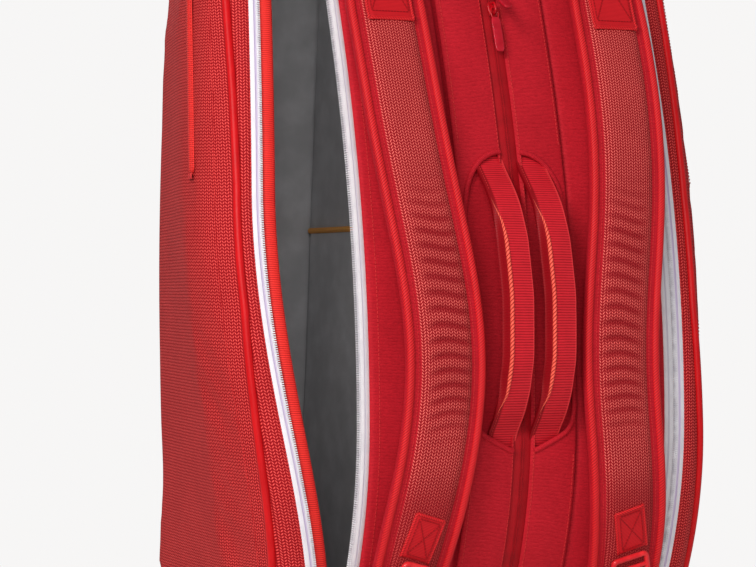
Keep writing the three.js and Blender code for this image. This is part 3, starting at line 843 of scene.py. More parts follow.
def cover(side, label, zone):
    is_low = zone == "low"
    zone_low, zone_high = ZONES[zone]

    def start(name, *materials):
        return Piece(f"{label}_{name}" if is_low else f"{label}_{name}_upper", *materials)

    def rows(low, high, low_count, high_count):
        return np.linspace(max(zone_low, low), min(zone_high, high), low_count if is_low else high_count)

    def finish(piece, slot_name, part, fill=None):
        obj = piece.move(lambda points: swing(points, side, zone)).build()
        finish_piece(obj, slot_name, f"{label}_{part}", blend=cover_blend(side, label, zone))

    # flank panel: puffed knit shell, held flat where its pocket's zip runs
    if is_low:
        z = np.append(FLANK_LOW + LOW_END_ROWS, np.linspace(52, SPLIT_Z, 70))
    else:
        z = np.append(np.linspace(SPLIT_Z, 712, 14), FLANK_HIGH - HIGH_END_ROWS)
    points = flank_surface(z[:, None], spaced_shares(54)[None, :], side)
    if is_low:
        swollen = facing(side, inflate(facing(side, points)))
        held = bell(points[..., 1] - pocket_line(z)[:, None], 26) * smooth((z[:, None] - 395) / 40)
        held = np.maximum(held, smooth((z[:, None] - 560) / 55))
        points = points + (swollen - points) * (1 - held)[..., None]
    uv = stacked(across_run(points), run(z)[:, None])
    flank = start("flank_knit", KNIT, LINING, THREAD)
    flank.shell(facing(side, points), facing(side, uv), 4.0, inner=1)
    seam_rows = slice(10, None) if is_low else slice(0, -9)
    outward = facing(side, grid_normals(facing(side, points)))[seam_rows, 3]
    flank.stitches(points[seam_rows, 3] + outward * 0.2, outward, 2, pitch=2.8, length=1.9)
    finish(flank, "knit", "flank_panel", 0.5)

    # lining hanging just inside the panel
    inside = flank_surface(z[:, None], (0.03 + 0.88 * spaced_shares(30))[None, :], side, inset=7.5)
    span = FLANK_HIGH - FLANK_LOW
    inside[..., 2] = FLANK_LOW + 7 + (inside[..., 2] - FLANK_LOW) * (span - 14) / span
    inside = facing(side, inside)
    lining = start("cover_cloth", LINING)
    lining.shell(inside, measured(inside), 0.8)
    finish(lining, "lining", "cover_lining")

    # piping round the whole edge of the flank
    pipe = start("piping_cord", SATIN)
    pipe.tube(piping_line(side, zone), 3.3, (side, 0, 0.001), sides=14)
    finish(pipe, "piping", "piping")

    # knit band between piping and zip
    z = rows(STRIP_LOW, STRIP_HIGH, 120, 30)
    shares = np.linspace(0, 1, 12)[None, :]
    x, depth = corner(band_width(z)[:, None] * shares)
    closed = ends_closed(z)[:, None]
    puff = 2.6 * np.sin(math.pi * shares**0.9) * closed
    points = on_front(side * (TAPE_OUT + x * closed), z[:, None], SIDE_DEPTH + 0.6 + depth * closed - puff)
    band = start("band_knit", KNIT, LINING, THREAD)
    band.shell(facing(side, points), facing(side, front_uv(side * x, z[:, None])), 3.2, inner=1)
    band.stitches(points[:, 1], facing(side, grid_normals(facing(side, points)))[:, 1], 2)
    finish(band, "knit", "front_band")

    # the cover's half of the zip, its teeth between those of the other half
    z = rows(STRIP_LOW, STRIP_HIGH, 150, 30)
    tape_name = f"{label}_zip_outer_tape" if is_low else f"{label}_zip_outer_tape_upper"
    teeth_low = max(zone_low, TEETH_LOW) + TOOTH_PITCH / 2
    half = zip_half(tape_name, TAPE, side, z, OUTER_TAPE, 139.4, teeth_low, min(zone_high, TEETH_HIGH))
    finish(half, "zip_tape", "zip_cover_half")

    # ribbed guard rolled behind the zip
    z = rows(30, 728, 140, 26)
    turn = np.linspace(0, 2 * math.pi, 18, endpoint=False)[None, :]
    guard = start("zip_guard_strip", GUARD)
    guard.loft(on_front(side * (135.8 + 6.6 * np.cos(turn)), z[:, None], 12.6 - 4.0 * np.sin(turn)), v=run(z))
    finish(guard, "webbing", "zip_guard")


for side, label in SIDES:
    for zone in ZONES:
        cover(side, label, zone)

# ---------------------------------------------------------------- body: gussets, front panels, windows, centre zip
WINDOW_IN, WINDOW_OUT = 10.0, 45.0
PLACKET_X = 7.2
PLACKET_ROLL = [PLACKET_X, PLACKET_X + 0.8, PLACKET_X + 1.8]
SEAM_ROLL = [46, 47, 47.7]
PLACKET_SEAM_X, PANEL_SEAM_X, GUSSET_SEAM_X = PLACKET_X + 2.2, 44.6, 123.0
LOWER_EDGE = ([10, 24, 34, 40, 45], [229, 236, 241, 246, 256])
UPPER_EDGE = ([10, 18, 27, 34, 40, 43.5, 45], [464, 462, 457, 449, 438, 425, 412])
GUSSET_INNER = [43.5, 46.5, 48.4, 49.2, 50.2, 51.5, 53.5]
GUSSET_OUTER = [122.5, 125, 127.4, 129.2, 130.2, 130.8]
CENTRE_HALF = ((0.5, 2.7), (1.5, 2.8), (3.0, 3.1), (6.4, 3.4), (8.4, 4.2))
CENTRE_TAPE = (*((-x, depth) for x, depth in CENTRE_HALF[::-1]), (0, 3.3), *CENTRE_HALF)


def window_low(x):
    return np.interp(x, *LOWER_EDGE)


def window_high(x):
    return np.interp(x, *UPPER_EDGE)


def gusset_depth(x, z):
    """Depth of the gusset's face: slack between its two seams, with long soft folds."""
    arch = np.sin(math.pi * np.clip((x - CENTRE_X) / (TAPE_IN - CENTRE_X), 0, 1))
    folds = (0.9 * np.sin(x / 9.0 + z / 120.0) + 0.7 * np.sin(z / 34.0 + x / 21.0)) * arch
    edge = 2.4 * bell(np.maximum(x, CENTRE_X) - CENTRE_X, 2.5)
    return 4.6 - 2.4 * arch**0.7 + folds * 0.6 + edge


def panel_face(x, z):
    """Depth of a front panel: slack across it, rolled in at both edges."""
    slack = 1.6 * np.sin(math.pi * (x - PLACKET_X) / (CENTRE_X - PLACKET_X)) ** 0.8
    rolled = 1.6 * (1 - quarter((x - PLACKET_X) / 1.8)) + 2.4 * (1 - quarter((47.9 - x) / 2.2))
    soft = 0.5 * np.sin(z / 40.0 + x / 13.0)
    return 1.8 - slack + rolled + soft * np.sin(math.pi * np.clip((x - PLACKET_X) / 40, 0, 1))


for side, label in SIDES:
    z = np.linspace(STRIP_LOW, STRIP_HIGH, 190)
    x = np.array([*GUSSET_INNER, *np.linspace(56, 120, 30), *GUSSET_OUTER])[None, :]
    depth = gusset_depth(x, z[:, None]) + 3.0 * smooth((x - 128.6) / 2.4)
    gusset = Piece(f"{label}_gusset_cloth", WEAVE, LINING, THREAD)
    front_sheet(gusset, side, x, z[:, None], depth, 2.6, inner=1)
    front_seam(gusset, side * GUSSET_SEAM_X, z, gusset_depth(GUSSET_SEAM_X, z))
    finish_piece(gusset.build(), "weave", f"{label}_gusset", body="bag_body")

    z = np.linspace(STRIP_LOW, STRIP_HIGH, 170)
    half = zip_half(f"{label}_zip_inner_tape", TAPE_INNER, side, z, INNER_TAPE, 137.6, TEETH_LOW, TEETH_HIGH)
    finish_piece(half.build(), "zip_tape", f"{label}_zip_body_half", body="bag_body")

    # front panel: below and above the hand window, the placket beside the zip and the strip beside the seam
    panel = Piece(f"{label}_front_cloth", WEAVE, LINING, THREAD)
    across = np.array([*PLACKET_ROLL, *np.linspace(WINDOW_IN, WINDOW_OUT, 18), *SEAM_ROLL])[None, :]
    low_edge = window_low(np.clip(across, WINDOW_IN, WINDOW_OUT))
    high_edge = window_high(np.clip(across, WINDOW_IN, WINDOW_OUT))
    parts = [
        (across, STRIP_LOW + (low_edge - STRIP_LOW) * np.linspace(0, 1, 46)[:, None]),
        (across, high_edge + (STRIP_HIGH - high_edge) * np.linspace(0, 1, 56)[:, None]),
    ]
    for columns, edge in (([*PLACKET_ROLL, WINDOW_IN], WINDOW_IN), ([WINDOW_OUT, *SEAM_ROLL], WINDOW_OUT)):
        parts.append((np.array(columns)[None, :], np.linspace(window_low(edge), window_high(edge), 60)[:, None]))
    for x, z in parts:
        front_sheet(panel, side, x, z, panel_face(x, z), 2.0, inner=1)
    for x, low, high, count in (
        (PLACKET_SEAM_X, STRIP_LOW, STRIP_HIGH, 160),
        (PANEL_SEAM_X, STRIP_LOW, 228.0, 90),
        (PANEL_SEAM_X, 470.0, STRIP_HIGH, 90),
    ):
        z = np.linspace(low, high, count)
        front_seam(panel, side * x, z, panel_face(x, z) - 0.1)
    finish_piece(panel.build(), "weave", f"{label}_front_panel", body="bag_body")

    # folded hem round the window
    low_x = np.linspace(PLACKET_X + 1, WINDOW_OUT, 32)
    high_x = np.linspace(WINDOW_OUT, PLACKET_X + 1, 42)
    side_z = np.linspace(window_low(WINDOW_OUT), window_high(WINDOW_OUT), 50)[1:-1]
    hem_x = np.concatenate([low_x, np.full(side_z.shape, WINDOW_OUT), high_x])
    hem_z = np.concatenate([window_low(low_x), side_z, window_high(high_x)])
    hem_x, hem_z = (np.convolve(np.pad(v, 3, mode="edge"), np.ones(7) / 7, "valid") for v in (hem_x, hem_z))
    hem_line = on_front(side * hem_x, hem_z, panel_face(hem_x, hem_z) - 0.1)
    hem = Piece(f"{label}_window_hem", WEAVE, THREAD)
    hem.tube(hem_line, 2.2, (0, -1, 0.001), sides=14, flat=0.75)
    finish_piece(hem.build(), "weave", body="bag_body")

    # base cloth behind the window
    x, z = np.linspace(8.5, 47, 16)[None, :], np.linspace(222, 470, 60)[:, None]
    sag = 1.2 * np.sin(z / 24.0 + x / 11.0) + 1.6 * np.sin(math.pi * (x - 8.5) / 38.5)
    cloth = Piece(f"{label}_window_cloth", WEAVE)
    front_sheet(cloth, side, x, z, 6.0 - sag * 0.7, 1.2)
    finish_piece(cloth.build(), "weave", f"{label}_window_base", body="bag_body")

# centre zip, reversed: the tape's back shows, with the coil's seam down the middle
z = np.linspace(STRIP_LOW, STRIP_HIGH, 240)
x, depth = np.array(CENTRE_TAPE).T[:, None]
centre_zip = Piece("centre_zip_tape", RED_TAPE, COIL)
front_sheet(centre_zip, 1, x, z[:, None], depth, 0.8)
for x in (-1.1, 1.1):
    front_seam(centre_zip, x, z, 2.7, 1, pitch=1.6, length=1.0, width=1.2, lift=0.3)
finish_piece(centre_zip.build(), "red_tape", "centre_zip", body="bag_body")

# ---------------------------------------------------------------- body: base, back, top, dividers
x = np.linspace(-BODY_X, BODY_X, 60)[None, :]
z = np.append(np.linspace(STRIP_LOW - 1, BACK_Z, 24), np.linspace(BACK_Z, STRIP_HIGH, 90)[1:])
from_edge = BODY_X - np.abs(x)
channel = 1.8 * bell(np.abs(x) - CENTRE_X, 4.0)
soft = 0.6 * np.sin(x / 47.0 + 0.4) * np.sin(z[:, None] / 83.0)
depth = -0.6 + 3.0 * (1 - quarter(from_edge / 12)) + channel - soft - 1.4 * quarter(from_edge / 40)
points = on_back(x, z[:, None], depth)
back_panel = Piece("back_panel_cloth", WEAVE, LINING, THREAD)
back_panel.shell(points[:, ::-1], stacked(-x, z[:, None])[:, ::-1], 4.0, inner=1)
for seam_x in (-CENTRE_X - 3.6, -CENTRE_X + 3.6, CENTRE_X - 3.6, CENTRE_X + 3.6):
    back_panel.stitches(on_back(seam_x, z, -1.2), BACKWARD, 2)
finish_piece(back_panel.build(), "weave", "back_panel", body="bag_body")

x, z = np.linspace(-152, -52, 24)[None, :], np.linspace(50, STRIP_HIGH - 18, 60)[:, None]
points = on_back(x, z, 6.2 + 0.8 * np.sin(x / 17.0) * np.sin(z / 41.0))
lining = Piece("back_lining_cloth", LINING)
lining.shell(points, measured(points), 0.9)
finish_piece(lining.build(), "lining", "back_lining", body="bag_body")


def slab_loop(inset, z):
    y0, y1 = float(front(z)) + inset, float(back(z)) - inset
    outline = rounded_rectangle(147 - inset, (y1 - y0) / 2 - 10, 10)
    return [(x, (y0 + y1) / 2 + y, z) for x, y in outline]


base = Piece("base_panel_cloth", WEAVE, WEBBING)
slab = ((8, 5.2), (2.0, 11.4), (0.3, 8.0), (0.8, 3.4), (2.6, 1.0), (5.5, 0.0))
base.loft(np.array([slab_loop(inset, z) for inset, z in slab]))
finish_piece(base.build(), "weave", "base_panel", body="bag_body")

top = Piece("top_panel_cloth", WEAVE, LINING, THREAD)
y_front, y_back = float(front(747)), float(back(747))
angles = np.linspace(0, math.pi, 40)[None, :]
cos = np.cos(angles)
section_y = (y_front + y_back) / 2 - (y_back - y_front) / 2 * np.sign(cos) * np.abs(cos) ** 0.62
x = np.linspace(-BODY_X, BODY_X, 70)[:, None]
puff = 13.0 * quarter((BODY_X - np.abs(x)) / 26) - 1.4 * bell(np.abs(x) - CENTRE_X, 3.0)
points = stacked(x, section_y, 746.5 + puff * np.sin(angles) ** 0.42)
top.shell(points[:, ::-1], measured(points)[:, ::-1], 3.0, inner=1)
for seam_x in (-CENTRE_X - 3, -CENTRE_X + 3, CENTRE_X - 3, CENTRE_X + 3):
    top.stitches(points[int(np.argmin(np.abs(x - seam_x)))] + [0, 0, 0.2], (0, 0, 1), 2)
finish_piece(top.build(), "weave", "top_panel", body="bag_body")


def between(rows, shares, front_gap, back_gap):
    """Y of a wall that stands between the strap side and the back."""
    y_front, y_back = front(rows) + front_gap, back(rows) - back_gap
    return y_front + (y_back - y_front) * shares


for side, label in SIDES:
    rows, shares = np.linspace(16, 742, 80)[:, None], np.linspace(0, 1, 40)[None, :]
    y = between(rows, shares, 8, 6)
    waves = 1.1 * np.sin(y / 31.0 + rows / 57.0) + 0.8 * np.sin(rows / 23.0 - y / 44.0)
    points = facing(side, stacked(side * (CENTRE_X + 2.4 + waves * np.sin(math.pi * shares)), y, rows))
    divider = Piece(f"{label}_divider_cloth", LINING)
    divider.shell(points, measured(points), 2.6)
    finish_piece(divider.build(), "lining", f"{label}_divider", body="bag_body")

_, pocket_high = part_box("left_inner_pocket")
rows, shares = np.linspace(62, pocket_high.z / MM, 50)[:, None], np.linspace(0, 1, 36)[None, :]
y = between(rows, shares, 16, 14)
belly = 5.0 * np.sin(math.pi * shares) * smooth((rows - 62) / 200) + 0.7 * np.sin(y / 19.0 + rows / 31.0)
points = facing(-1, stacked(-(CENTRE_X + 5.2 + belly), y, rows))
inner_pocket = Piece("left_inner_pocket_cloth", POCKET_CLOTH)
inner_pocket.shell(points, measured(points), 0.9)
finish_piece(inner_pocket.build(), "lining", "left_inner_pocket", body="bag_body")
rim = Piece("left_inner_pocket_rim", TAN_EDGE)
rim.tube(points[-1] + [0, 0, 1.6], 2.6, (0, 0, 1), sides=14, flat=0.95)
finish_piece(rim.build(), "pocket_edge", "left_inner_pocket_binding", body="bag_body")

# ---------------------------------------------------------------- shoulder straps
STRAP_TOP, STRAP_BOTTOM = 640.0, 112.0
LOCK_Z = 139.0
LOCK_TURN = math.radians(16)
RING_LIFT = 2.2
PATCH_ROWS, PATCH_COLUMNS = 36, 15
HALF_STRAP = 33.0
FACE = np.array([0, 2, 4, 6, 8, 10, 12, 14, 16, 17.5, 18.8, 19.8, 20.6, 21.2])
FACE_RISE = np.array([12.6, 12.6, 12.55, 12.5, 12.4, 12.3, 12.1, 11.9, 11.5, 11.0, 10.4, 9.7, 9.0, 8.5])
# across the pad and above its back; the last column of the wall is the distance round it
PAD_STRIP = ((21.2, 8.5), (22.0, 8.2), (24.5, 8.4), (27.0, 8.4), (30.0, 8.2))
PAD_WALL = (
    (31.4, 8.2, 0), (32.6, 7.2, 1.6), (32.8, 4.0, 5), (32.2, 1.2, 8),
    (30.0, 0.2, 10), (15.0, 0.0, 25), (0.0, 0.0, 40),
)
ADJUSTER = ((-12.5, 0.4), (-12, 1.4), (-6, 1.7), (0, 1.8), (6, 1.7), (12, 1.4), (12.5, 0.4))


def strap_x(z):
    return 100 - 23 * bell(z - 300, 130)


def strap_back(z):
    """Height of the pad's back above the strap side."""
    return 2 + 11 * np.sin(math.pi * np.clip((z - STRAP_BOTTOM) / (STRAP_TOP - STRAP_BOTTOM), 0, 1))


def strap_half_width(z):
    return HALF_STRAP - 2.5 * smooth((190 - z) / 80) - 2.0 * smooth((z - 560) / 80)


def crumple(a, z, side):
    """Short folds across the pad, where it bends most: their height, and the painted shade a point gets, strongest
    in the hollows between folds and towards the pad's lower end.
    """
    zone = smooth((z - 226) / 46) * smooth((452 - z) / 60)
    across = bell(a + side * 2.5, 17.5, 6)
    phase = z / 10.9 + 0.32 * np.sin(z / 37.0) + 0.2 * np.sin(a / 9.0 + z / 61.0) + a * side * 0.006
    crest = np.abs(np.sin(math.pi * phase)) ** 0.75
    depth = 2.2 * (0.72 + 0.28 * np.sin(z / 16.7 + 1.3))
    pucker = 0.45 * np.sin(2 * math.pi * z / 10.9) * bell(a + side * 19, 4)
    height = zone * across * depth * (crest - 0.75) + 0.6 * zone * pucker
    wave = 0.5 + 0.5 * np.cos(2 * math.pi * phase)
    # painted shade: strongest in the hollows between folds, and darker towards the pad's lower end below z 224
    painted_valley_shade = 0.8 * zone * across * smooth((wave - 0.25) / 0.7)
    return height, np.maximum(painted_valley_shade, 0.6 * smooth((224 - z) / 34))


def strap_pad(side, label, blend):
    """The padded strap and the twill binding over its edges."""
    z = np.linspace(STRAP_BOTTOM, STRAP_TOP, 420)[:, None]
    half, base, centre = strap_half_width(z), strap_back(z), side * strap_x(z)
    ends = quarter((z - STRAP_BOTTOM + 1) / 14)
    pad = Piece(f"{label}_strap_pad_face", PAD_KNIT, WEAVE, THREAD)

    a = np.concatenate([-FACE[:0:-1], FACE])[None, :] / HALF_STRAP * half
    rise = np.concatenate([FACE_RISE[:0:-1], FACE_RISE])[None, :]
    folds, painted_shades = crumple(a, z, side)
    pad.grid(on_front(centre + a, z, -(base + 6 + (rise - 6) * ends + folds)), front_uv(a, z))
    for sign in (-1, 1):
        across, rise = np.array(PAD_STRIP).T[:, None]
        a = sign * across / HALF_STRAP * half
        strip = on_front(centre + a, z, -(base + 6 + (rise - 6) * ends))
        pad.grid(facing(sign, strip), facing(sign, front_uv(a, z)), 1)
        across, rise, around = np.array(PAD_WALL).T[:, None]
        wall = on_front(centre + sign * across / HALF_STRAP * half, z, -(base + rise))
        pad.grid(facing(sign, wall), facing(sign, front_uv(sign * around, z)), 1)
    for sign in (-1, 1):
        seam_x = (centre + sign * 23.6 / HALF_STRAP * half)[:, 0]
        front_seam(pad, seam_x, z[:, 0], -(base[:, 0] + 8.5), pitch=2.6, length=1.7, width=0.6)
    for row in (0, -1):
        a = np.linspace(-32, 32, 20)[None, :] / HALF_STRAP * half[row]
        cap = on_front(centre[row] + a, z[row], -(base[row] + np.array([0.1, 4.0, 8.2])[:, None]))
        pad.grid(cap, stacked(a, np.array([0, 4, 8.0])[:, None]), 1)
    obj = pad.build()
    # the painted shade goes onto the pad face's vertices as the crease attribute
    painted_shade_values = np.zeros(len(obj.data.vertices), np.float32)
    painted_shade_values[: painted_shades.size] = painted_shades.ravel()
    obj.data.attributes.new("crease", "FLOAT", "POINT").data.foreach_set("value", painted_shade_values)
    finish_piece(obj, "knit", f"{label}_strap_pad", blend=blend)

    binding = Piece(f"{label}_strap_binding", TWILL, THREAD)
    turn = np.linspace(0, 2 * math.pi, 14, endpoint=False)[None, :]
    rise = 8.1 + np.where(np.sin(turn) > 0, 2.5, 1.8) * np.sin(turn)
    for sign in (-1, 1):
        a = sign * (half - 2.9) + 3.1 * np.cos(turn)
        binding.loft(on_front(centre + a, z, -(base + rise)), v=run(z[:, 0]))
    t = np.linspace(-1, 1, 30)
    end_line = on_front(centre[0] + t * (half[0] - 2.9), STRAP_BOTTOM + 2.0, -(base[0] + 8.0))
    binding.tube(end_line, 3.0, (0, -1, 0.2), flat=0.8)
    finish_piece(binding.build(), "webbing", blend=blend)


def strap_patch(side, name, node, width, z_low, z_high, turn=0.0, folded=False, **hold):
    """A webbing tab on the pad, with cords along three edges and a crossed box of stitches."""
    z_mid, length = (z_low + z_high) / 2, z_high - z_low
    w = np.linspace(-width / 2, width / 2, PATCH_COLUMNS)[None, :]
    l = np.linspace(-length / 2, length / 2, PATCH_ROWS)[:, None]
    x = side * strap_x(z_mid) + w * math.cos(turn) - l * math.sin(turn)
    z = z_mid + w * math.sin(turn) + l * math.cos(turn)
    from_end = l + length / 2
    rise = strap_back(z) + 12.4 + 1.1 * quarter((width / 2 - np.abs(w)) / 1.2)
    rise = rise - 1.2 * (1 - quarter(from_end / 1.6))
    if folded:
        rise = rise + smooth((4.5 - from_end) / 1.6)
    points = on_front(x, z, -rise)
    normal = grid_normals(points)
    tab = Piece(name, PATCH, DARK_THREAD, TWILL)
    tab.shell(points, stacked(w, l), 1.6)
    for line in (points[:, 0], points[:, -1], points[0] if folded else points[-1]):
        tab.tube(line, 1.25, (0, -1, 0.3), slot=2, sides=10, flat=0.8)

    def sew(start, end):
        s = np.linspace(0, 1, 24)[:, None]
        place = np.array(start) * (1 - s) + np.array(end) * s
        column = (place[:, 0] / width + 0.5) * (PATCH_COLUMNS - 1)
        row = (place[:, 1] / length + 0.5) * (PATCH_ROWS - 1)
        c = np.clip(column.astype(int), 0, PATCH_COLUMNS - 2)
        r = np.clip(row.astype(int), 0, PATCH_ROWS - 2)
        share_c, share_r = (column - c)[:, None], (row - r)[:, None]
        low = points[r, c] * (1 - share_c) + points[r, c + 1] * share_c
        high = points[r + 1, c] * (1 - share_c) + points[r + 1, c + 1] * share_c
        line = low * (1 - share_r) + high * share_r + normal[r, c] * 0.1
        tab.stitches(line, normal[r, c], 1, pitch=2.6, length=2.1, width=1.0)

    w0, w1 = 3 - width / 2, width / 2 - 3
    l0, l1 = (6 if folded else 3) - length / 2, length / 2 - 3
    box = ((w0, l0), (w1, l0), (w1, l1), (w0, l1))
    for i, j in ((0, 1), (1, 2), (2, 3), (3, 0), (0, 2), (1, 3)):
        sew(box[i], box[j])
    finish_piece(tab.build(), "webbing", node, **hold)


def ladder_buckle(side, label):
    low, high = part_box(f"{label}_ladder_lock")
    centre = (np.array((low + high) / 2) - ORIGIN) / MM
    slope = float(front_slope(LOCK_Z))
    normal, upward, sideways = unit((0, -1, slope)), unit((0, slope, 1)), np.array([1.0, 0, 0])
    cos, sin = math.cos(side * LOCK_TURN), math.sin(side * LOCK_TURN)
    right, up = sideways * cos + upward * sin, upward * cos - sideways * sin
    lock = Piece(f"{label}_ladder_buckle", PLASTIC)

    def bar(places, radius, flat=0.8):
        line = [centre + right * p + up * q + normal * (r + RING_LIFT) for p, q, r in places]
        lock.tube(line, radius, normal, flat=flat)

    outline = np.array([(p, q - 0.6, 0.0) for p, q in rounded_rectangle(11.5, 9.9, 3.2)])
    outline = np.concatenate([outline, outline[:1]])
    along = distance_along(outline)
    places = np.linspace(0, along[-1], 90)
    bar(np.stack([np.interp(places, along, outline[:, k]) for k in range(3)], -1), 2.2, 1.0)
    bar([(p, 3.0, 0.0) for p in np.linspace(-13.5, 13.5, 8)], 1.9)
    bar([(p, -6.5, 1.0) for p in np.linspace(-13.5, 13.5, 8)], 1.7)
    bar([(p, -15.5 - 0.5 * math.cos(p / 9), 1.6) for p in np.linspace(-12, 12, 10)], 1.8)
    finish_piece(lock.build(), "plastic", f"{label}_ladder_lock", body=f"{label}_buckle")


def adjuster(side, label):
    """Webbing from the base up to the buckle; it spans the joint, as if let out through the buckle."""
    z = np.linspace(30, 122, 50)[:, None]
    rise = np.minimum(1.2 + 11 * np.clip((z - 44) / 64, 0, 2) ** 1.5, 13.5)
    a, proud = np.array(ADJUSTER).T[:, None]
    webbing = Piece(f"{label}_adjuster_strap", WEBBING, THREAD)
    webbing.shell(on_front(side * strap_x(z) + a, z, -(rise + proud)), front_uv(a, z), 1.5)
    fixed = frame_point(on_front(side * strap_x(36), 36, -2))
    moving = frame_point(on_front(side * strap_x(120), 120, -12))
    slack = ("bag_body", f"{label}_strap", fixed, moving)
    finish_piece(webbing.build(), "webbing", f"{label}_adjuster_webbing", blend=slack)


for side, label in SIDES:
    sewn_end = frame_point(on_front(side * strap_x(STRAP_TOP), STRAP_TOP + 4, -8))
    free_end = frame_point(on_front(side * strap_x(STRAP_TOP), STRAP_TOP - 55, -8))
    top_blend = ("bag_body", f"{label}_strap", sewn_end, free_end)
    strap_pad(side, label, top_blend)
    upper, lower = f"{label}_strap_upper", f"{label}_strap_lower"
    strap_patch(side, f"{upper}_patch", f"{upper}_tab", 38, 559, 636, folded=True, blend=top_blend)
    turn = side * LOCK_TURN
    strap_patch(side, f"{lower}_patch", f"{lower}_tab", 25, LOCK_Z + 14, 186, turn, body=f"{label}_strap")
    ladder_buckle(side, label)
    adjuster(side, label)

# ---------------------------------------------------------------- folded grab handles
HANDLE_LOW, HANDLE_HIGH = 228.0, 468.0
HANDLE_X = 18.5
HANDLE_SHARES = [0, 0.06, 0.09, 0.13, 0.2, 0.3, 0.5, 0.68, 0.79, 0.86, 0.905, 0.95, 1]
HANDLE_RISE = [-9, -5, 1, 9, 19.5, 27.5, 31, 27, 17.5, 8, 0.5, -6, -9]

for side, label in SIDES:
    t = np.linspace(0, 1, 150)
    z = HANDLE_LOW + (HANDLE_HIGH - HANDLE_LOW) * t
    kernel = np.hanning(15)[1:-1]
    rise = np.pad(np.interp(t, HANDLE_SHARES, HANDLE_RISE), 6, mode="reflect", reflect_type="odd")
    rise = np.convolve(rise, kernel / kernel.sum(), "valid")[:, None]
    fold = (smooth((t - 0.1) / 0.16) * smooth((0.84 - t) / 0.2))[:, None]
    half = 12.5 - 0.6 * fold
    a = np.linspace(-1, 1, 34)[None, :] * half
    dropped = 9.0 * fold * smooth((-7.4 - a) / 4.6)
    crown = 0.5 * np.cos(a / half * 1.4) - 0.08 * fold * a
    points = on_front(side * HANDLE_X + a, z[:, None], -(rise + 2.8 + crown - dropped))
    strip = Piece(f"{label}_handle_webbing", GRIP, FOLD_HIGHLIGHT, THREAD)
    strip.shell(points, front_uv(a, z[:, None]), 2.8)

    # the rolled edge, only where the webbing is folded; its brighter twill is a painted highlight along the ridge
    turn = np.linspace(0, 2 * math.pi, 14, endpoint=False)[None, :]
    grow = np.maximum(fold, 0.02)
    roll_a = -11.4 + 3.6 * smooth(grow * 1.6) + 1.55 * grow * np.cos(turn)
    roll_rise = rise + 2.6 + 1.9 * grow * (np.sin(turn) + 0.35)
    folded = np.flatnonzero(fold > 0.05)
    rows = slice(folded[0], folded[-1] + 1)
    strip.loft(on_front(side * HANDLE_X + roll_a, z[:, None], -roll_rise)[rows], 1, v=run(z[rows]))
    for sign in (-1, 1):
        edge = np.abs(points[0, :, 0] - side * HANDLE_X - sign * 10.4).argmin()
        for rows in (slice(6, 22), slice(-24, -6)):
            line = points[rows, edge] + [0, -0.1, 0]
            strip.stitches(line, (0, -1, 0.2), 2, pitch=2.6, length=1.8, width=0.6)
    finish_piece(strip.build(), "webbing", f"{label}_handle", body=f"{label}_grip")

# ---------------------------------------------------------------- zip sliders, their pulls, and the flank pockets
SLIDER_LAYERS = ((0.4, 0.9), (0.8, 1.0), (2.0, 1.0), (2.6, 0.86), (2.7, 0.6))
TAB_LAYERS = (
    (-0.95, 1.2), (-0.9, 0.3), (-0.5, 0.0), (0.5, 0.0), (0.9, 0.3), (0.95, 0.8), (0.6, 1.1), (0.55, 2.0)
)
TAB_MIDDLE = 22.6
WELT_X = 188.6
POCKET_SEAT_X = 190.8
# slot, and the section as distance behind the zip and height above the welt
WELT_SECTIONS = (
    (0, ((-12.4, -1.8), (-11.8, 0.2), (-10.4, 1.0), (-7.4, 1.5), (-4.2, 1.6), (-1.9, 1.0), (-1.4, -0.6))),
    (1, ((-1.9, -1.0), (-0.9, -0.7), (0.0, -0.1), (0.9, -0.7), (1.9, -1.0))),
    (2, ((1.2, -0.8), (1.8, 0.5), (2.8, 0.9), (5.0, 0.7), (7.0, 0.1), (8.6, -1.2))),
)


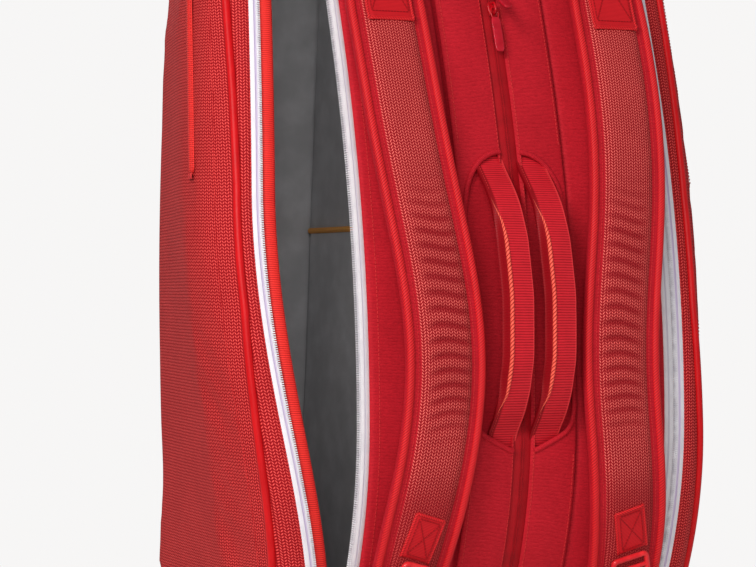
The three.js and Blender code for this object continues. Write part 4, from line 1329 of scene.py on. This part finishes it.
def fittings(name, seat, along, outward, lift=0.0, opened=False):
    """A slider with its bridge, and a wire ring with a moulded tab that hangs from it."""
    along, outward = unit(along), unit(outward)
    across = np.cross(along, outward)

    def finish(piece, slot_name, part):
        if opened:
            piece.move(lambda points: swing(points, -1, "low"))
        finish_piece(piece.build(), slot_name, f"{name}_{part}", body=f"{name}_{part}_body")

    def local(points):
        return seat + np.array(points, float) @ np.array([across, outward, along])

    slider = Piece(f"{name}_slider_cast", METAL)
    outline = []
    for angle in np.linspace(0, 2 * math.pi, 28, endpoint=False):
        p, q = squarish(angle, 4.5 - 0.45 * (1 - math.sin(angle)), 6.4, 0.6, 0.7)
        outline.append((p, q))
    slider.loft(local([[(p * grow, height, q * grow) for p, q in outline] for height, grow in SLIDER_LAYERS]))
    turns = np.linspace(0.02, math.pi - 0.02, 22)
    arch = [(0.0, 2.2 + 4.9 * math.sin(t) ** 0.6, -4.6 * math.cos(t)) for t in turns]
    slider.tube(local(arch), 1.1, across, sides=10)
    finish(slider, "slider_metal", "slider")

    hang = -along * math.cos(lift) + outward * math.sin(lift)
    face = np.cross(across, hang)

    def hung(points):
        return seat + outward * 4.5 + np.array(points, float) @ np.array([across, face, hang])

    pull = Piece(f"{name}_pull_tab", PULL_PLASTIC, METAL)
    ring = []
    for angle in np.linspace(0, 2 * math.pi, 40):
        p, q = squarish(angle, 3.1, 5.2, 0.7, 0.8)
        ring.append((p, 0.0, 4.6 + q))
    pull.tube(hung(ring), 0.75, face, slot=1, sides=8)
    loops = []
    for height, inset in TAB_LAYERS:
        loop = []
        for angle in np.linspace(0, 2 * math.pi, 36, endpoint=False):
            p, q = squarish(angle, 4.0, 14.8, 0.5, 0.3)
            p = np.sign(p) * max(abs(p) - inset, 0)
            q = np.sign(q) * max(abs(q) - inset, 0)
            loop.append((p, height, TAB_MIDDLE + q))
        loops.append(loop)
    pull.loft(hung(loops))
    finish(pull, "plastic", "pull")


def on_zip(x, z, depth):
    """Seat and directions of a slider on the strap side."""
    slope = float(front_slope(z))
    return on_front(x, z, depth), (0, slope, 1), (0, -1, slope)


fittings("centre_low", *on_zip(0, 578, -0.3))
fittings("centre_high", *on_zip(0, 596, -0.3), lift=0.7)
fittings("left_top", *on_zip(-137, 722, 5.7))
fittings("left_bottom", *on_zip(-137, 64, 5.7))
fittings("right_top", *on_zip(140, 716, 5.7))


def pocket_welt(side, label, zone):
    is_low = zone == "low"
    z_low, z_high = (POCKET_LOW, SPLIT_Z) if is_low else (SPLIT_Z, POCKET_HIGH)
    z = np.linspace(z_low, z_high, 90 if is_low else 26)[:, None]
    tip = quarter((z - POCKET_LOW) / 7) * quarter((POCKET_HIGH - z) / 7)
    name = f"{label}_pocket_welt_strip" if is_low else f"{label}_pocket_welt_strip_upper"
    welt = Piece(name, GUARD, COIL, KNIT, THREAD)
    for slot, section in WELT_SECTIONS:
        behind, proud = np.array(section).T[:, None]
        x = WELT_X + proud * tip - 1.4 * (1 - tip)
        points = stacked(side * x, pocket_line(z) + behind * tip, z)
        welt.shell(facing(side, points), facing(side, front_uv(behind * side, z)), 0.9, slot)
    for offset in (-13.8, 6.4):
        line = stacked(side * (WELT_X + 0.35), pocket_line(z[:, 0]) + offset, z[:, 0])
        welt.stitches(line, (side, 0, 0), 3, pitch=2.8, length=1.9)
    if is_low:
        axes = (np.array([0, 1.0, 0]), np.array([0, 0, 1.0]), np.array([side, 0, 0.0]))
        for offset in np.linspace(-11.5, 3.5, 15):
            place = (side * (WELT_X + 0.7), pocket_line(POCKET_LOW) + offset, POCKET_LOW - 0.6)
            welt.block(np.array(place), (0.45, 2.4, 0.5), axes, 3)
    welt.move(lambda points: swing(points, side, zone))
    finish_piece(welt.build(), "piping", f"{label}_pocket_welt", body=f"{label}_cover")


for side, label in SIDES:
    for zone in ZONES:
        pocket_welt(side, label, zone)
    seat = np.array([side * POCKET_SEAT_X, float(pocket_line(652)), 652.0])
    fittings(f"{label}_pocket", seat, (0, POCKET_SLOPE, 1), (side, 0, 0), opened=side < 0)

# ---------------------------------------------------------------- floor
disc = bmesh.new()
bmesh.ops.create_circle(disc, cap_ends=True, segments=96, radius=1.0)
mesh = bpy.data.meshes.new("floor")
disc.to_mesh(mesh)
disc.free()
floor = bpy.data.objects.new("floor", mesh)
scene.collection.objects.link(floor)
floor.location.z = -0.0005
mesh.materials.append(FLOOR)
